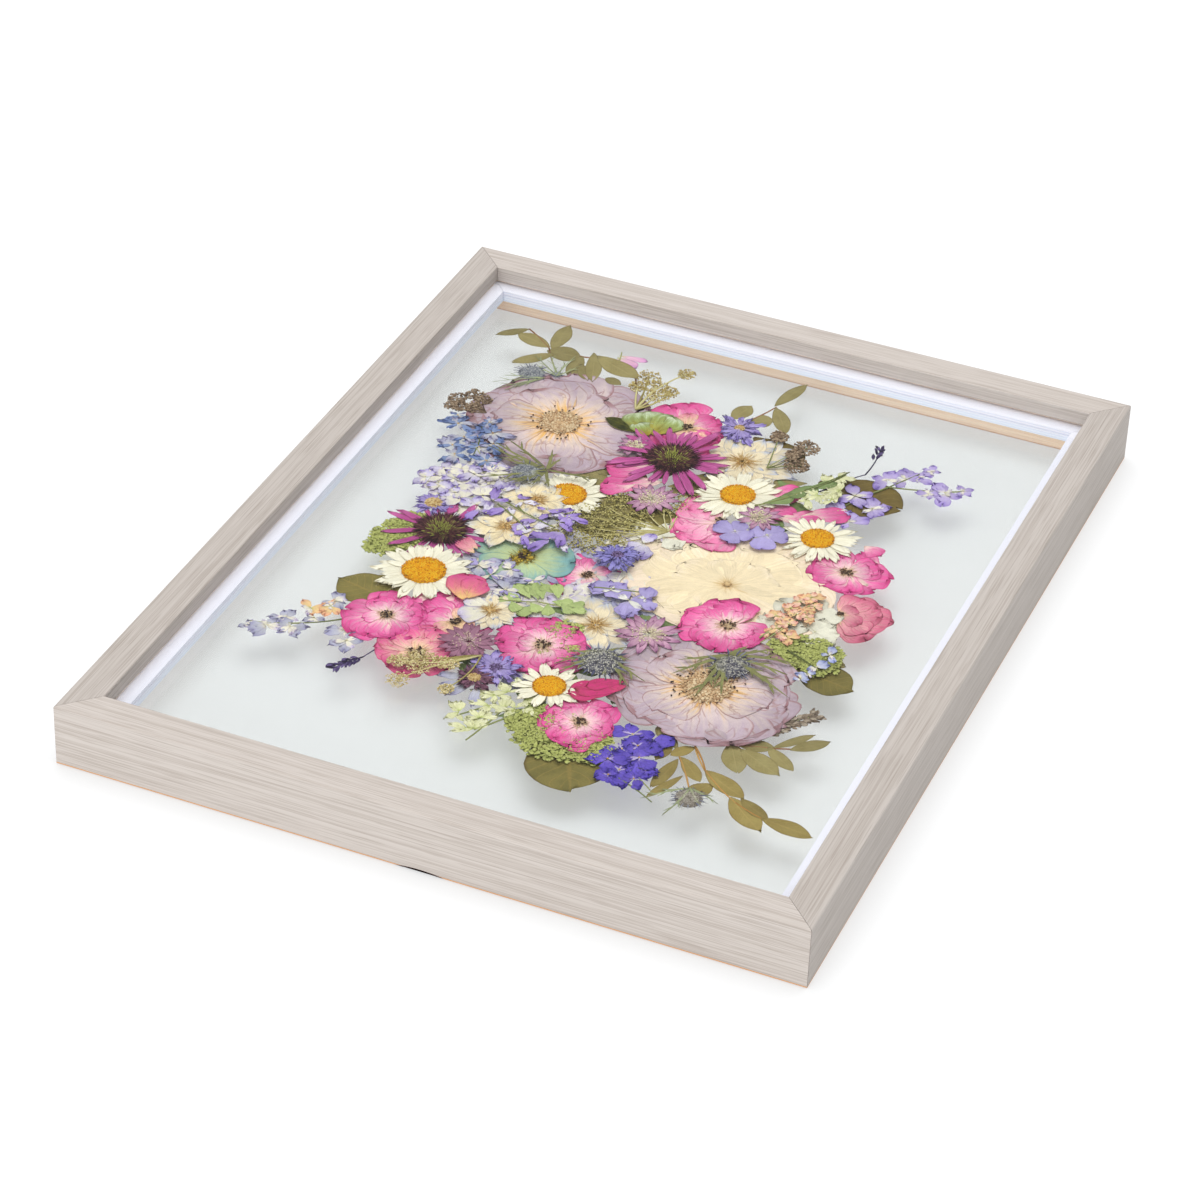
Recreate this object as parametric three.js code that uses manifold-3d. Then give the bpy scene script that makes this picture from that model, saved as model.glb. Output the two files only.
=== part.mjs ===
// A pressed flower picture in a deep box frame, lying on its back.
//
// Millimetres. X runs along the short rails, Y along the long rails, and Z from the
// back of the frame up to its face. The origin is the middle of the back, where it rests.
// From the face down: lip of the moulding, front pane, white spacers, flowers, back pane,
// steel points that hold the back pane, and the open recess of the moulding.

import * as THREE from "three";
import { mergeVertices } from "three/addons/utils/BufferGeometryUtils.js";
import Module from "manifold-3d";

const wasm = await Module();
wasm.setup();

// Driving dimensions

const openingWidth = 355.6; // 14 in: the rabbet opening that takes the glass
const openingLength = 457.2; // 18 in
const frameDepth = 33;
const faceWidth = 17.5; // the moulding seen from the front
const lipCover = 6.35; // how far the lip covers the glass
const lipThickness = 8.5;
const outerRound = 1.0; // softened edges of the moulding
const innerRound = 0.5;

const paneThickness = 2;
const paneClearance = 0.8; // glass to wood, each side
const contactGap = 0.3; // between pieces that touch
const mitreGap = 0.25;

const spacerHeight = 6.35;
const spacerReach = 24.5; // inner side of the spacers, from the frame's outer face
const spacerGroove = { below: 2.1, height: 0.5, depth: 0.5 }; // the fine line along each spacer

const pointSize = { width: 12, nose: 7, tail: 3.5, thickness: 0.5 }; // steel framer's point
const notch = { width: 17, height: 1, inward: 8 }; // shallow scallop under the front rail

const petalThickness = 0.3;
const stemWidth = 1.2;

// What follows from them

const wallThickness = faceWidth - lipCover;
const frameWidth = openingWidth + 2 * wallThickness;
const frameLength = openingLength + 2 * wallThickness;
const lipUnderside = frameDepth - lipThickness;
const frontPaneTop = lipUnderside - contactGap;
const spacerTop = frontPaneTop - paneThickness - contactGap;
const spacerUnderside = spacerTop - spacerHeight;
const backPaneTop = spacerUnderside - contactGap;
const pointTop = backPaneTop - paneThickness - contactGap;
const flowerBed = backPaneTop + contactGap; // height of the lowest leaves
const flowerCeiling = frontPaneTop - paneThickness - contactGap;

// Materials

function finish(color, roughness, metalness = 0) {
  return new THREE.MeshStandardMaterial({ color, roughness, metalness });
}

function glassFinish() {
  const glass = finish(0xeaf4f2, 0.03);
  glass.transparent = true;
  glass.opacity = 0.25;
  return glass;
}

// Solids: geometry to a manifold and back

function toSolid(geometry) {
  const bare = geometry.clone();
  bare.deleteAttribute("normal");
  bare.deleteAttribute("uv");
  const merged = mergeVertices(bare, 1e-4);
  const vertProperties = Float32Array.from(merged.attributes.position.array);
  const triVerts = Uint32Array.from(merged.index.array);
  return new wasm.Manifold(new wasm.Mesh({ numProp: 3, vertProperties, triVerts }));
}

function toGeometry(solid) {
  const { vertProperties, triVerts } = solid.getMesh();
  const geometry = new THREE.BufferGeometry();
  geometry.setAttribute("position", new THREE.BufferAttribute(vertProperties, 3));
  geometry.setIndex(new THREE.BufferAttribute(triVerts, 1));
  geometry.computeVertexNormals();
  return geometry;
}

function extrude(outline, depth) {
  const shape = new THREE.Shape(outline.map(([x, y]) => new THREE.Vector2(x, y)));
  return new THREE.ExtrudeGeometry(shape, { depth, bevelEnabled: false });
}

const group = new THREE.Group();

function addMesh(name, geometry, material, x = 0, y = 0, z = 0, turn = 0) {
  const mesh = new THREE.Mesh(geometry, material);
  mesh.name = name;
  mesh.position.set(x, y, z);
  mesh.rotation.z = turn;
  group.add(mesh);
  return mesh;
}

// Mitred strips. A profile is a list of [inward, up]. The strip runs along X with its
// outer side at y = 0, and each end is cut at 45 degrees, so it shortens going inward.

function arc(centreInward, centreUp, radius, from, to, steps) {
  return Array.from({ length: steps + 1 }, (_, i) => {
    const angle = from + ((to - from) * i) / steps;
    return [centreInward + radius * Math.cos(angle), centreUp + radius * Math.sin(angle)];
  });
}

function mitredStrip(profile, run) {
  const geometry = extrude(profile, 1);
  const position = geometry.attributes.position;
  for (let i = 0; i < position.count; i++) {
    const inward = position.getX(i);
    const up = position.getY(i);
    const side = 2 * position.getZ(i) - 1;
    position.setXYZ(i, side * (run / 2 - inward - mitreGap / 2), inward, up);
  }
  return geometry;
}

// The four sides, each with its outward distance from the middle and its turn about Z.

const sides = [
  { side: "front", run: frameWidth, x: 0, y: -frameLength / 2, turn: 0 },
  { side: "right", run: frameLength, x: frameWidth / 2, y: 0, turn: Math.PI / 2 },
  { side: "back", run: frameWidth, x: 0, y: frameLength / 2, turn: Math.PI },
  { side: "left", run: frameLength, x: -frameWidth / 2, y: 0, turn: -Math.PI / 2 },
];

// One point in the middle of a short rail, two along a long one.

function pointPlaces(run) {
  return run === frameLength ? [-run / 4, run / 4] : [0];
}

function railProfile() {
  const quarter = Math.PI / 2;
  return [
    [0, 0],
    [wallThickness, 0],
    [wallThickness, lipUnderside],
    [faceWidth, lipUnderside],
    ...arc(faceWidth - innerRound, frameDepth - innerRound, innerRound, 0, quarter, 3),
    ...arc(outerRound, frameDepth - outerRound, outerRound, quarter, 2 * quarter, 4),
  ];
}

function pointSlot(along) {
  const { width, tail, thickness } = pointSize;
  const inward = tail + contactGap + 1; // 1 mm of it opens past the wall
  const slot = new THREE.BoxGeometry(width + 2 * contactGap, inward, thickness + 2 * contactGap);
  slot.translate(along, wallThickness + 1 - inward / 2, pointTop - thickness / 2);
  return toSolid(slot);
}

function scallop() {
  const { width, height, inward } = notch;
  const radius = width ** 2 / (8 * height) + height / 2;
  const cutter = new THREE.CylinderGeometry(radius, radius, 2 * inward, 96);
  cutter.translate(0, 0, height - radius);
  return toSolid(cutter);
}

function addRail({ side, run, x, y, turn }) {
  let rail = toSolid(mitredStrip(railProfile(), run));
  for (const along of pointPlaces(run)) rail = rail.subtract(pointSlot(along));
  if (side === "front") rail = rail.subtract(scallop());
  addMesh(`rail_${side}`, toGeometry(rail), finish(0xcdc4bb, 0.6), x, y, 0, turn);
}

function spacerProfile() {
  const { below, height, depth } = spacerGroove;
  const outer = wallThickness + paneClearance;
  return [
    [outer, 0],
    [spacerReach, 0],
    [spacerReach, spacerHeight - below - height],
    [spacerReach - depth, spacerHeight - below - height],
    [spacerReach - depth, spacerHeight - below],
    [spacerReach, spacerHeight - below],
    [spacerReach, spacerHeight],
    [outer, spacerHeight],
  ];
}

function addSpacer({ side, run, x, y, turn }) {
  const spacer = mitredStrip(spacerProfile(), run);
  addMesh(`spacer_${side}`, spacer, finish(0xe6e9f4, 0.5), x, y, spacerUnderside, turn);
}

function addPoints({ side, run, x, y, turn }) {
  const { width, nose, tail, thickness } = pointSize;
  const corner = width / 4;
  const outline = [
    [-width / 2, -tail],
    [width / 2, -tail],
    [width / 2, nose - corner],
    [width / 2 - corner, nose],
    [corner - width / 2, nose],
    [-width / 2, nose - corner],
  ];
  pointPlaces(run).forEach((along, i) => {
    const inward = new THREE.Vector2(along, wallThickness).rotateAround(new THREE.Vector2(), turn);
    const name = `framers_point_${side}_${i + 1}`;
    const steel = finish(0x9a9c9e, 0.35, 1);
    const z = pointTop - thickness;
    addMesh(name, extrude(outline, thickness), steel, x + inward.x, y + inward.y, z, turn);
  });
}

function addPane(name, top) {
  const width = openingWidth - 2 * paneClearance;
  const length = openingLength - 2 * paneClearance;
  const pane = new THREE.BoxGeometry(width, length, paneThickness);
  addMesh(name, pane, glassFinish(), 0, 0, top - paneThickness / 2);
}

sides.forEach(addRail);
sides.forEach(addSpacer);
sides.forEach(addPoints);
addPane("front_pane", frontPaneTop);
addPane("back_pane", backPaneTop);

// Outlines of pressed leaves and flowers, seen from above.

// Petals round a middle: reach * (waist + (1 - waist) * |cos(petals * angle / 2)| ^ blunt)
function petalOutline({ petals, reach, waist, turn = 0, stretch = 1, blunt = 0.6, steps = 6 }) {
  return Array.from({ length: petals * steps }, (_, i) => {
    const angle = (2 * Math.PI * i) / (petals * steps);
    const lobe = Math.abs(Math.cos((petals * angle) / 2)) ** blunt;
    const radius = reach * (waist + (1 - waist) * lobe);
    const point = new THREE.Vector2(radius * Math.cos(angle) * stretch, radius * Math.sin(angle));
    return point.rotateAround(new THREE.Vector2(), turn).toArray();
  });
}

// A leaf from base to tip, widest a little before its middle.
function leafOutline([baseX, baseY, tipX, tipY, width]) {
  const steps = 6;
  const length = Math.hypot(tipX - baseX, tipY - baseY);
  const along = [(tipX - baseX) / length, (tipY - baseY) / length];
  const edge = (t, side) => {
    const out = side * (width / 2) * Math.sin(Math.PI * t ** 0.85) ** 0.8;
    return [baseX + along[0] * length * t - along[1] * out, baseY + along[1] * length * t + along[0] * out];
  };
  const right = Array.from({ length: steps }, (_, i) => edge(i / steps, -1));
  const left = Array.from({ length: steps }, (_, i) => edge(1 - i / steps, 1));
  return [...right, ...left];
}

// A straight stretch of stem.
function stemOutline([fromX, fromY, toX, toY]) {
  const length = Math.hypot(toX - fromX, toY - fromY);
  const acrossX = (-(toY - fromY) / length) * (stemWidth / 2);
  const acrossY = ((toX - fromX) / length) * (stemWidth / 2);
  return [
    [fromX - acrossX, fromY - acrossY],
    [toX - acrossX, toY - acrossY],
    [toX + acrossX, toY + acrossY],
    [fromX + acrossX, fromY + acrossY],
  ];
}

function sheet(outline, thickness = petalThickness) {
  return toSolid(extrude(outline, thickness));
}

function sheets(outlines, thickness) {
  return wasm.Manifold.union(outlines.map((outline) => sheet(outline, thickness)));
}

// A raised middle, such as a daisy's disc.
function dome(radius, height) {
  const profile = [
    [0, 0],
    [radius, 0],
    [0.9 * radius, 0.5 * height],
    [0.6 * radius, 0.9 * height],
    [0, height],
  ];
  const lathe = new THREE.LatheGeometry(profile.map(([r, z]) => new THREE.Vector2(r, z)), 14);
  return toSolid(lathe.rotateX(Math.PI / 2));
}

// Laying the arrangement. Pieces are laid in turn from the back pane up, and each one
// rests just clear of the highest piece under it.

const laid = [];

function restingHeight(plan) {
  const tops = laid.filter((under) => !under.plan.intersect(plan).isEmpty()).map((under) => under.top);
  return Math.max(flowerBed, ...tops.map((top) => top + contactGap));
}

function layPiece(name, color, plan, raised = null) {
  const z = restingHeight(plan);
  laid.push({ plan, top: z + petalThickness });
  let solid = plan;
  if (raised) {
    laid.push({ plan: raised.plan, top: z + raised.height });
    solid = plan.add(raised.solid);
  }
  const { min, max } = solid.boundingBox();
  if (z + max[2] > flowerCeiling) throw new Error(`${name} reaches the front pane`);
  const x = (min[0] + max[0]) / 2;
  const y = (min[1] + max[1]) / 2;
  addMesh(name, toGeometry(solid.translate([-x, -y, 0])), finish(color, 0.7), x, y, z);
}

function layFlower(name, color, x, y, petalShape, middle = null) {
  const plan = sheet(petalOutline(petalShape)).translate([x, y, 0]);
  if (!middle) return layPiece(name, color, plan);
  const { radius, height, shift = [0, 0] } = middle;
  const place = [x + shift[0], y + shift[1], 0];
  const middlePlan = sheet(petalOutline({ petals: 1, reach: radius, waist: 1, steps: 14 }));
  const solid = dome(radius, height).translate(place);
  layPiece(name, color, plan, { plan: middlePlan.translate(place), solid, height });
}

function laySpray(name, color, leaves, stems = []) {
  layPiece(name, color, sheets([...leaves.map(leafOutline), ...stems.map(stemOutline)]));
}

const olive = 0x9a8a4e;
const brownOlive = 0x7a6a38;
const lilac = 0xa9a3dc;

// Leaves and sprays at the bottom. A leaf is base x, base y, tip x, tip y, width.

function layLeafSprays() {
  laySpray(
    "leaf_spray_back",
    olive,
    [
      [-138, 193, -152, 181, 8],
      [-123, 185, -144, 186, 10],
      [-116, 180, -126, 201, 11],
      [-117, 190, -120, 209, 12],
      [-117, 180, -112, 198, 15],
      [-122, 180, -101, 179, 11],
      [-111, 174, -132, 157, 9],
      [-101, 179, -101, 156, 11],
      [-84, 159, -97, 187, 13],
      [-93, 180, -66, 170, 14],
      [-97, 169, -86, 157, 8],
      [-70, 160, -79, 168, 10],
    ],
    [
      [-139, 193, -122, 184],
      [-123, 185, -111, 172],
      [-112, 174, -101, 179],
      [-102, 179, -92, 180],
      [-93, 181, -77, 162],
      [-111, 174, -106, 150],
      [-98, 170, -84, 158],
    ],
  );
  laySpray(
    "leaf_spray_front_left",
    olive,
    [
      [75, -120, 73, -137, 8],
      [87, -119, 77, -129, 8],
      [83, -129, 80, -156, 9],
      [83, -129, 98, -142, 9],
      [90, -141, 80, -165, 6],
      [104, -141, 97, -155, 11],
    ],
    [
      [79, -120, 84, -131],
      [83, -129, 98, -154],
      [75, -121, 81, -121],
    ],
  );
  laySpray(
    "leaf_spray_front_middle",
    olive,
    [
      [97, -134, 121, -148, 12],
      [115, -147, 136, -168, 13],
      [120, -147, 137, -158, 9],
      [132, -156, 160, -160, 12],
    ],
    [
      [84, -116, 98, -135],
      [97, -134, 119, -151],
      [128, -157, 134, -158],
    ],
  );
  laySpray(
    "leaf_spray_front_right",
    olive,
    [
      [100, -107, 110, -130, 13],
      [101, -108, 121, -102, 11],
      [105, -110, 130, -124, 14],
      [116, -103, 134, -118, 9],
      [118, -105, 135, -85, 6],
      [126, -103, 142, -87, 9],
    ],
    [
      [96, -104, 107, -111],
      [106, -109, 119, -103],
      [118, -104, 129, -101],
    ],
  );
  laySpray(
    "leaf_twig_right",
    olive,
    [
      [-4, 156, 1, 175, 12],
      [4, 159, 16, 166, 13],
      [11, 179, 19, 207, 10],
      [11, 179, 27, 156, 12],
    ],
    [
      [-4, 157, 5, 161],
      [4, 160, 12, 180],
    ],
  );
  laySpray("brown_leaf_back", brownOlive, [[12, 146, 44, 130, 24]]);
  laySpray("brown_leaf_right", brownOlive, [[58, 121, 104, 115, 34]]);
  laySpray("olive_leaf_left", olive, [[-88, -74, -124, -66, 30]]);
  laySpray("olive_leaf_front", olive, [[52, -145, 11, -158, 36]]);
  laySpray("olive_leaf_right", olive, [[104, -38, 136, -44, 24]]);
}

// Flower spikes and thistles that stand out at the rim.

function laySpikes() {
  laySpray(
    "larkspur_spray_right",
    lilac,
    [
      [82, 139, 99, 134, 16],
      [93, 145, 113, 138, 13],
      [101, 147, 113, 157, 13],
      [112, 136, 132, 146, 10],
    ],
    [
      [74, 100, 92, 131],
      [92, 131, 118, 140],
    ],
  );
  laySpray(
    "larkspur_spray_left",
    lilac,
    [
      [-141, -120, -153, -126, 8],
      [-146, -112, -128, -122, 16],
      [-138, -104, -124, -112, 13],
      [-134, -100, -113, -90, 18],
      [-120, -91, -113, -76, 15],
    ],
    [
      [-98, -90, -126, -109],
      [-125, -108, -145, -118],
    ],
  );
  laySpray(
    "lavender_sprig_right",
    0x5c4f78,
    [
      [66, 118, 82, 133, 5],
      [79, 132, 78, 144, 4],
      [77, 152, 79, 166, 9],
    ],
    [
      [66, 118, 81, 133],
      [79, 131, 78, 160],
    ],
  );
  laySpray(
    "lavender_sprig_left",
    0x5c4f78,
    [
      [-82, -108, -88, -121, 4],
      [-84, -120, -98, -129, 7],
      [-86, -130, -97, -139, 8],
    ],
    [[-80, -106, -92, -132]],
  );
  laySpray("lavender_sprig_front", 0x8a8290, [[104, -98, 130, -69, 11]]);
  laySpray("thistle_head_back", 0x7d87a0, [[-104, 139, -130, 153, 16]]);
  laySpray("thistle_ball_front", 0x8b8798, [[91, -147, 106, -166, 17]], [[88, -143, 96, -153]]);
}

// The wide, soft flowers: lace, hydrangea, delphinium and garden roses.

function layWideFlowers() {
  const ragged = { petals: 9, waist: 0.82, blunt: 1, steps: 4 };
  layFlower("green_hydrangea_front", 0x9fb06a, 25, -139, { ...ragged, reach: 23 });
  layFlower("delphinium_violet", 0x5a50b4, 60, -132, { ...ragged, petals: 5, reach: 21, waist: 0.6 });
  layFlower("lace_head_middle", 0x8d8a54, -27, 33, { ...ragged, reach: 22 });
  const garden = { petals: 7, waist: 0.86, blunt: 0.7 };
  layFlower("garden_rose_back", 0xbfa9b4, -84, 107, { ...garden, reach: 49, turn: 0.3 });
  layFlower("garden_rose_white", 0xeee4c4, 52, 20, { ...garden, reach: 47, stretch: 1.12, turn: -0.4 });
  layFlower("garden_rose_front", 0xbfa5b2, 77, -79, { ...garden, reach: 46, turn: 0.9 });
}

// The pink spray roses, from the ones that lie deepest.

function laySprayRoses() {
  const pink = 0xd65f9c;
  const rose = { petals: 5, waist: 0.84, blunt: 0.6 };
  layFlower("spray_rose_back", pink, -22, 138, { ...rose, reach: 21, turn: 0.2, stretch: 0.85 });
  layFlower("spray_rose_side", pink, 16, 55, { ...rose, reach: 22, turn: 1.2, stretch: 0.8 });
  layFlower("spray_rose_dusty", 0xc9818f, 119, 19, { ...rose, reach: 20, turn: 1.3, stretch: 0.75 });
  layFlower("spray_rose_right", pink, 101, 48, { ...rose, reach: 20.5, turn: 0.6 });
  layFlower("spray_rose_bud_left", pink, -67, -75, { ...rose, reach: 18, turn: 0.9, stretch: 0.85 });
  layFlower("spray_rose_peach", 0xe08a92, -65, -108, { ...rose, reach: 21, turn: 0.1 });
  layFlower("spray_rose_left", pink, -90, -87, { ...rose, reach: 21, turn: 0.5 });
  layFlower("spray_rose_middle", pink, -16, -10, { ...rose, reach: 19.5, turn: 0.8 });
  layFlower("spray_rose_centre", pink, -12, -77, { ...rose, reach: 22, turn: 0.3 });
  layFlower("spray_rose_front", pink, 30, -126, { ...rose, reach: 19.5, turn: 0.9 });
  layFlower("spray_rose_on_white", pink, 64, -24, { ...rose, reach: 24, turn: 0.2 });
}

// Hellebore, love-in-a-mist, coneflowers and daisies lie uppermost.

function layTopFlowers() {
  const mist = { petals: 10, waist: 0.7, blunt: 0.8, steps: 4 };
  layFlower("hellebore", 0x8fbfae, -51, -12, { petals: 5, reach: 24, waist: 0.8, turn: 0.4 });
  layFlower("nigella_back", 0xd8cba0, 16, 120, { ...mist, reach: 26 });
  layFlower("nigella_middle", 0xd8cba0, 5, -49, { ...mist, reach: 22 });
  const cone = { petals: 12, waist: 0.45, blunt: 0.9, steps: 4 };
  layFlower("coneflower_left", 0x9c3f78, -104, -7, { ...cone, reach: 28 }, {
    radius: 10,
    height: 2,
    shift: [7, 0],
  });
  layFlower("coneflower_back", 0xa8437f, -17, 104, { ...cone, reach: 32 }, { radius: 12, height: 2 });
  const daisy = { petals: 16, waist: 0.5, blunt: 0.8, steps: 4 };
  const disc = { radius: 9, height: 1.4 };
  layFlower("daisy_middle", 0xf3eed4, -50, 46, { ...daisy, reach: 21 }, disc);
  layFlower("daisy_back", 0xf3eed4, 26, 87, { ...daisy, reach: 23 }, disc);
  layFlower("daisy_right", 0xf3eed4, 77, 68, { ...daisy, reach: 21 }, { radius: 8, height: 1.4 });
  layFlower("daisy_left", 0xf3eed4, -90, -45, { ...daisy, reach: 26 }, { radius: 10, height: 1.4 });
  layFlower("daisy_front", 0xf3eed4, 6, -108, { ...daisy, reach: 18 }, { radius: 7, height: 1.4 });
}

layLeafSprays();
laySpikes();
layWideFlowers();
laySprayRoses();
layTopFlowers();

export default group;
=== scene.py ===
import math
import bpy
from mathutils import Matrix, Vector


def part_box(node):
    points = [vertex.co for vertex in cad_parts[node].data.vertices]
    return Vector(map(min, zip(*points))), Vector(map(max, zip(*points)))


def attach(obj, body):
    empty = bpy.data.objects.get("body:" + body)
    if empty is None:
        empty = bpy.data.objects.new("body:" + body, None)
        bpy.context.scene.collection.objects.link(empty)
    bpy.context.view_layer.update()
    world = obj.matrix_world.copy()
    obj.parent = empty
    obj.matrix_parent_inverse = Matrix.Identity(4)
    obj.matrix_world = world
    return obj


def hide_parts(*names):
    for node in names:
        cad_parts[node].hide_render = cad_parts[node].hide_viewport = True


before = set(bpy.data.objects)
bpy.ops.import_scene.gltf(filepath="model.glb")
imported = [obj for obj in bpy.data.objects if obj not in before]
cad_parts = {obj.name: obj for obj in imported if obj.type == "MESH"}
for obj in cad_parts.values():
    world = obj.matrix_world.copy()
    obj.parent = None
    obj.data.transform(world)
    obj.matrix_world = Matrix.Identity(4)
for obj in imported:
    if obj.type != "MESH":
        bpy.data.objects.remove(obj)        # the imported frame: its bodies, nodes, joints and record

from types import SimpleNamespace

import bpy
import numpy as np
from mathutils import Matrix, Vector

# A pressed flower picture in a deep box frame. Shapes are worked out in millimetres in the
# frame's own axes and go into their meshes in metres. Colours are sRGB in hex.

mm = 0.001
fullTurn = 2 * math.pi
goldenAngle = math.pi * (3 - math.sqrt(5))
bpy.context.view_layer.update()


# Camera and light

print("camera, floor and light")

viewpoint = dict(
    azimuth=0.381456, elevation=0.609589, roll=0.0406796,  # radians
    place=(0.59181, -1.50803, 1.13089),
    lens=118.0, sensor=36.0,
)
softboxes = {
    "key_softbox": dict(place=(-0.05, 0.45, 2.4), size=2.2, power=41.0),
    "fill_softbox": dict(place=(-0.5, -3.0, 0.75), size=2.0, power=45.0),
}
surround = dict(
    skyDiffuse=0.8, skyGlossy=0.12,  # the surround as matt and as glossy surfaces meet it
    size=12.0, drop=0.0004, railOuter=(0.1884, 0.2392), railInner=(0.179, 0.2298),
    # The paper glows as painted light that fills in its shadows, and it is painted dark under the rails
    # as painted shadow
    paper=(0.46, 0.466, 0.47, 1.0), paintedRailShadow=(0.03, 0.02, 0.016, 1.0), paintedGlow=0.46,
    roughness=0.9, specular=0.1,
)


def dye(color, level=1.0):
    # A hex colour as the linear RGBA that a socket takes
    color = np.array(list(bytes.fromhex(color))) / 255
    linear = np.where(color <= 0.04045, color / 12.92, ((color + 0.055) / 1.055) ** 2.4)
    return (*(linear * level), 1.0)


def makeCamera():
    azimuth, elevation, roll = (viewpoint[key] for key in ("azimuth", "elevation", "roll"))
    level = math.cos(elevation)
    back = Vector((math.sin(azimuth) * level, -math.cos(azimuth) * level, math.sin(elevation)))
    right = (-back).cross(Vector((0, 0, 1))).normalized()
    up = back.cross(right)
    across = right * math.cos(roll) + up * math.sin(roll)
    upward = up * math.cos(roll) - right * math.sin(roll)
    camera = bpy.data.objects.new("camera", bpy.data.cameras.new("camera"))
    camera.data.lens = viewpoint["lens"]
    camera.data.sensor_width = viewpoint["sensor"]
    turned = Matrix((across, upward, back)).transposed().to_4x4()
    camera.matrix_world = Matrix.Translation(viewpoint["place"]) @ turned
    bpy.context.scene.collection.objects.link(camera)
    bpy.context.scene.camera = camera


def addSoftbox(name, place, size, power):
    # A lamp that neither face of a pane mirrors: the far face sends it back out by transmission
    lamp = bpy.data.lights.new(name, "AREA")
    lamp.size = size
    lamp.energy = power
    box = bpy.data.objects.new(name, lamp)
    box.location = place
    box.rotation_euler = (-Vector(place)).to_track_quat("-Z", "Y").to_euler()
    box.visible_glossy = False
    box.visible_transmission = False
    bpy.context.scene.collection.objects.link(box)


makeCamera()
for name, look in softboxes.items():
    addSoftbox(name, **look)
bpy.context.scene.view_settings.view_transform = "Standard"


# Node tools

class Wire:
    # A socket in a node tree, which + - * < and abs join into maths nodes

    def __init__(self, socket):
        self.socket = socket

    def math(self, operation, *others):
        return chain("Math", dict(enumerate([self, *others])), operation=operation)

    def __add__(self, other):
        return self.math("ADD", other)

    def __sub__(self, other):
        return self.math("SUBTRACT", other)

    def __rsub__(self, other):
        return chain("Math", {0: other, 1: self}, operation="SUBTRACT")

    def __mul__(self, other):
        return self.math("MULTIPLY", other)

    def __lt__(self, other):
        return self.math("LESS_THAN", other)

    def __abs__(self):
        return self.math("ABSOLUTE")


def addNode(tree, kind, inputs=None, **settings):
    node = tree.nodes.new("ShaderNode" + kind)
    for key, value in settings.items():
        setattr(node, key, value)
    for key, value in (inputs or {}).items():
        if isinstance(value, Wire):
            tree.links.new(value.socket, node.inputs[key])
        else:
            node.inputs[key].default_value = value
    return node


def chain(kind, inputs, output=0, **settings):
    # A node in the tree that its wires come from
    tree = next(value.socket.id_data for value in inputs.values() if isinstance(value, Wire))
    return Wire(addNode(tree, kind, inputs, **settings).outputs[output])


def blend(factor, first, second, kind="MIX"):
    return chain("Mix", {0: factor, 6: first, 7: second}, 2, data_type="RGBA", blend_type=kind)


def ease(value, low, high):
    # 0 below low, 1 above high and an S curve between them
    inputs = {"Value": value, "From Min": low, "From Max": high}
    return chain("MapRange", inputs, interpolation_type="SMOOTHSTEP")


def spanned(value, low, high):
    return chain("MapRange", {"Value": value, "To Min": low, "To Max": high})


def noise(place, scale, detail=2.0):
    return chain("TexNoise", {"Vector": place, "Scale": scale, "Detail": detail})


def combined(x, y, z):
    return chain("CombineXYZ", {0: x, 1: y, 2: z})


def separated(tree, kind, output, **settings):
    # The three parts of a vector that a node of this kind gives
    vector = Wire(addNode(tree, kind, **settings).outputs[output])
    return [Wire(part) for part in addNode(tree, "SeparateXYZ", {0: vector}).outputs]


def objectPlace(tree):
    return Wire(addNode(tree, "TexCoord").outputs["Object"])


def bladePlace(tree):
    # Along a blade from base to tip, across it, and the blade's own tone, each 0 to 1
    return separated(tree, "Attribute", "Vector", attribute_name="blade")


def newMaterial(name):
    material = bpy.data.materials.new(name)
    material.use_nodes = True
    material.node_tree.nodes.clear()
    return material, material.node_tree


def cover(tree, inputs, height=None, strength=0.0, depth=0.0):
    # The Principled shader with a bump of this height, strength and depth in millimetres
    if height:
        relief = {"Height": height, "Strength": strength, "Distance": depth * mm}
        inputs["Normal"] = chain("Bump", relief)
    shader = addNode(tree, "BsdfPrincipled", inputs).outputs[0]
    addNode(tree, "OutputMaterial", {0: Wire(shader)})


# Pattern groups. Scales of noise are per metre in the object's own place and per blade otherwise.

petalMarks = dict(
    laneStep=43.0, streakRows=1.7, tipEdge=1.6, rimFloor=0.35, rimStreak=0.9, wanderScale=4.0,
    foldWidth=0.07, foldFrom=0.38, foldFull=0.56, foldHeight=0.7, spotScale=260.0,
    shadeFloor=0.9, shadeByTone=0.2,
)
leafMarks = dict(
    patchScale=130.0, patchFrom=0.35, patchFull=0.7, veinPairs=9.0, veinSlant=2.2, veinWidth=0.09,
    ribFrom=0.02, ribTo=0.08, edgeFrom=0.9, edgeMix=0.75, grainScale=900.0, grainMix=0.3,
    shadeFloor=0.78, shadeByTone=0.28, veinHeight=0.8,
)
seedMarks = dict(
    speckScale=1500.0, speckMix=0.4, toneMix=0.8, middleSpan=(0.15, 0.55), lightSpan=(0.5, 0.95),
    footEnd=0.7,
)
woodMarks = dict(
    fine=(6.0, 1500.0, 1500.0), band=(3.0, 420.0, 420.0), pore=(30.0, 2000.0, 2000.0),
    bandSpan=(0.2, 0.8), fineSpan=(0.42, 0.7), poreSpan=(0.52, 0.64), fineMix=0.52, poreDepth=0.6,
)


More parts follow.
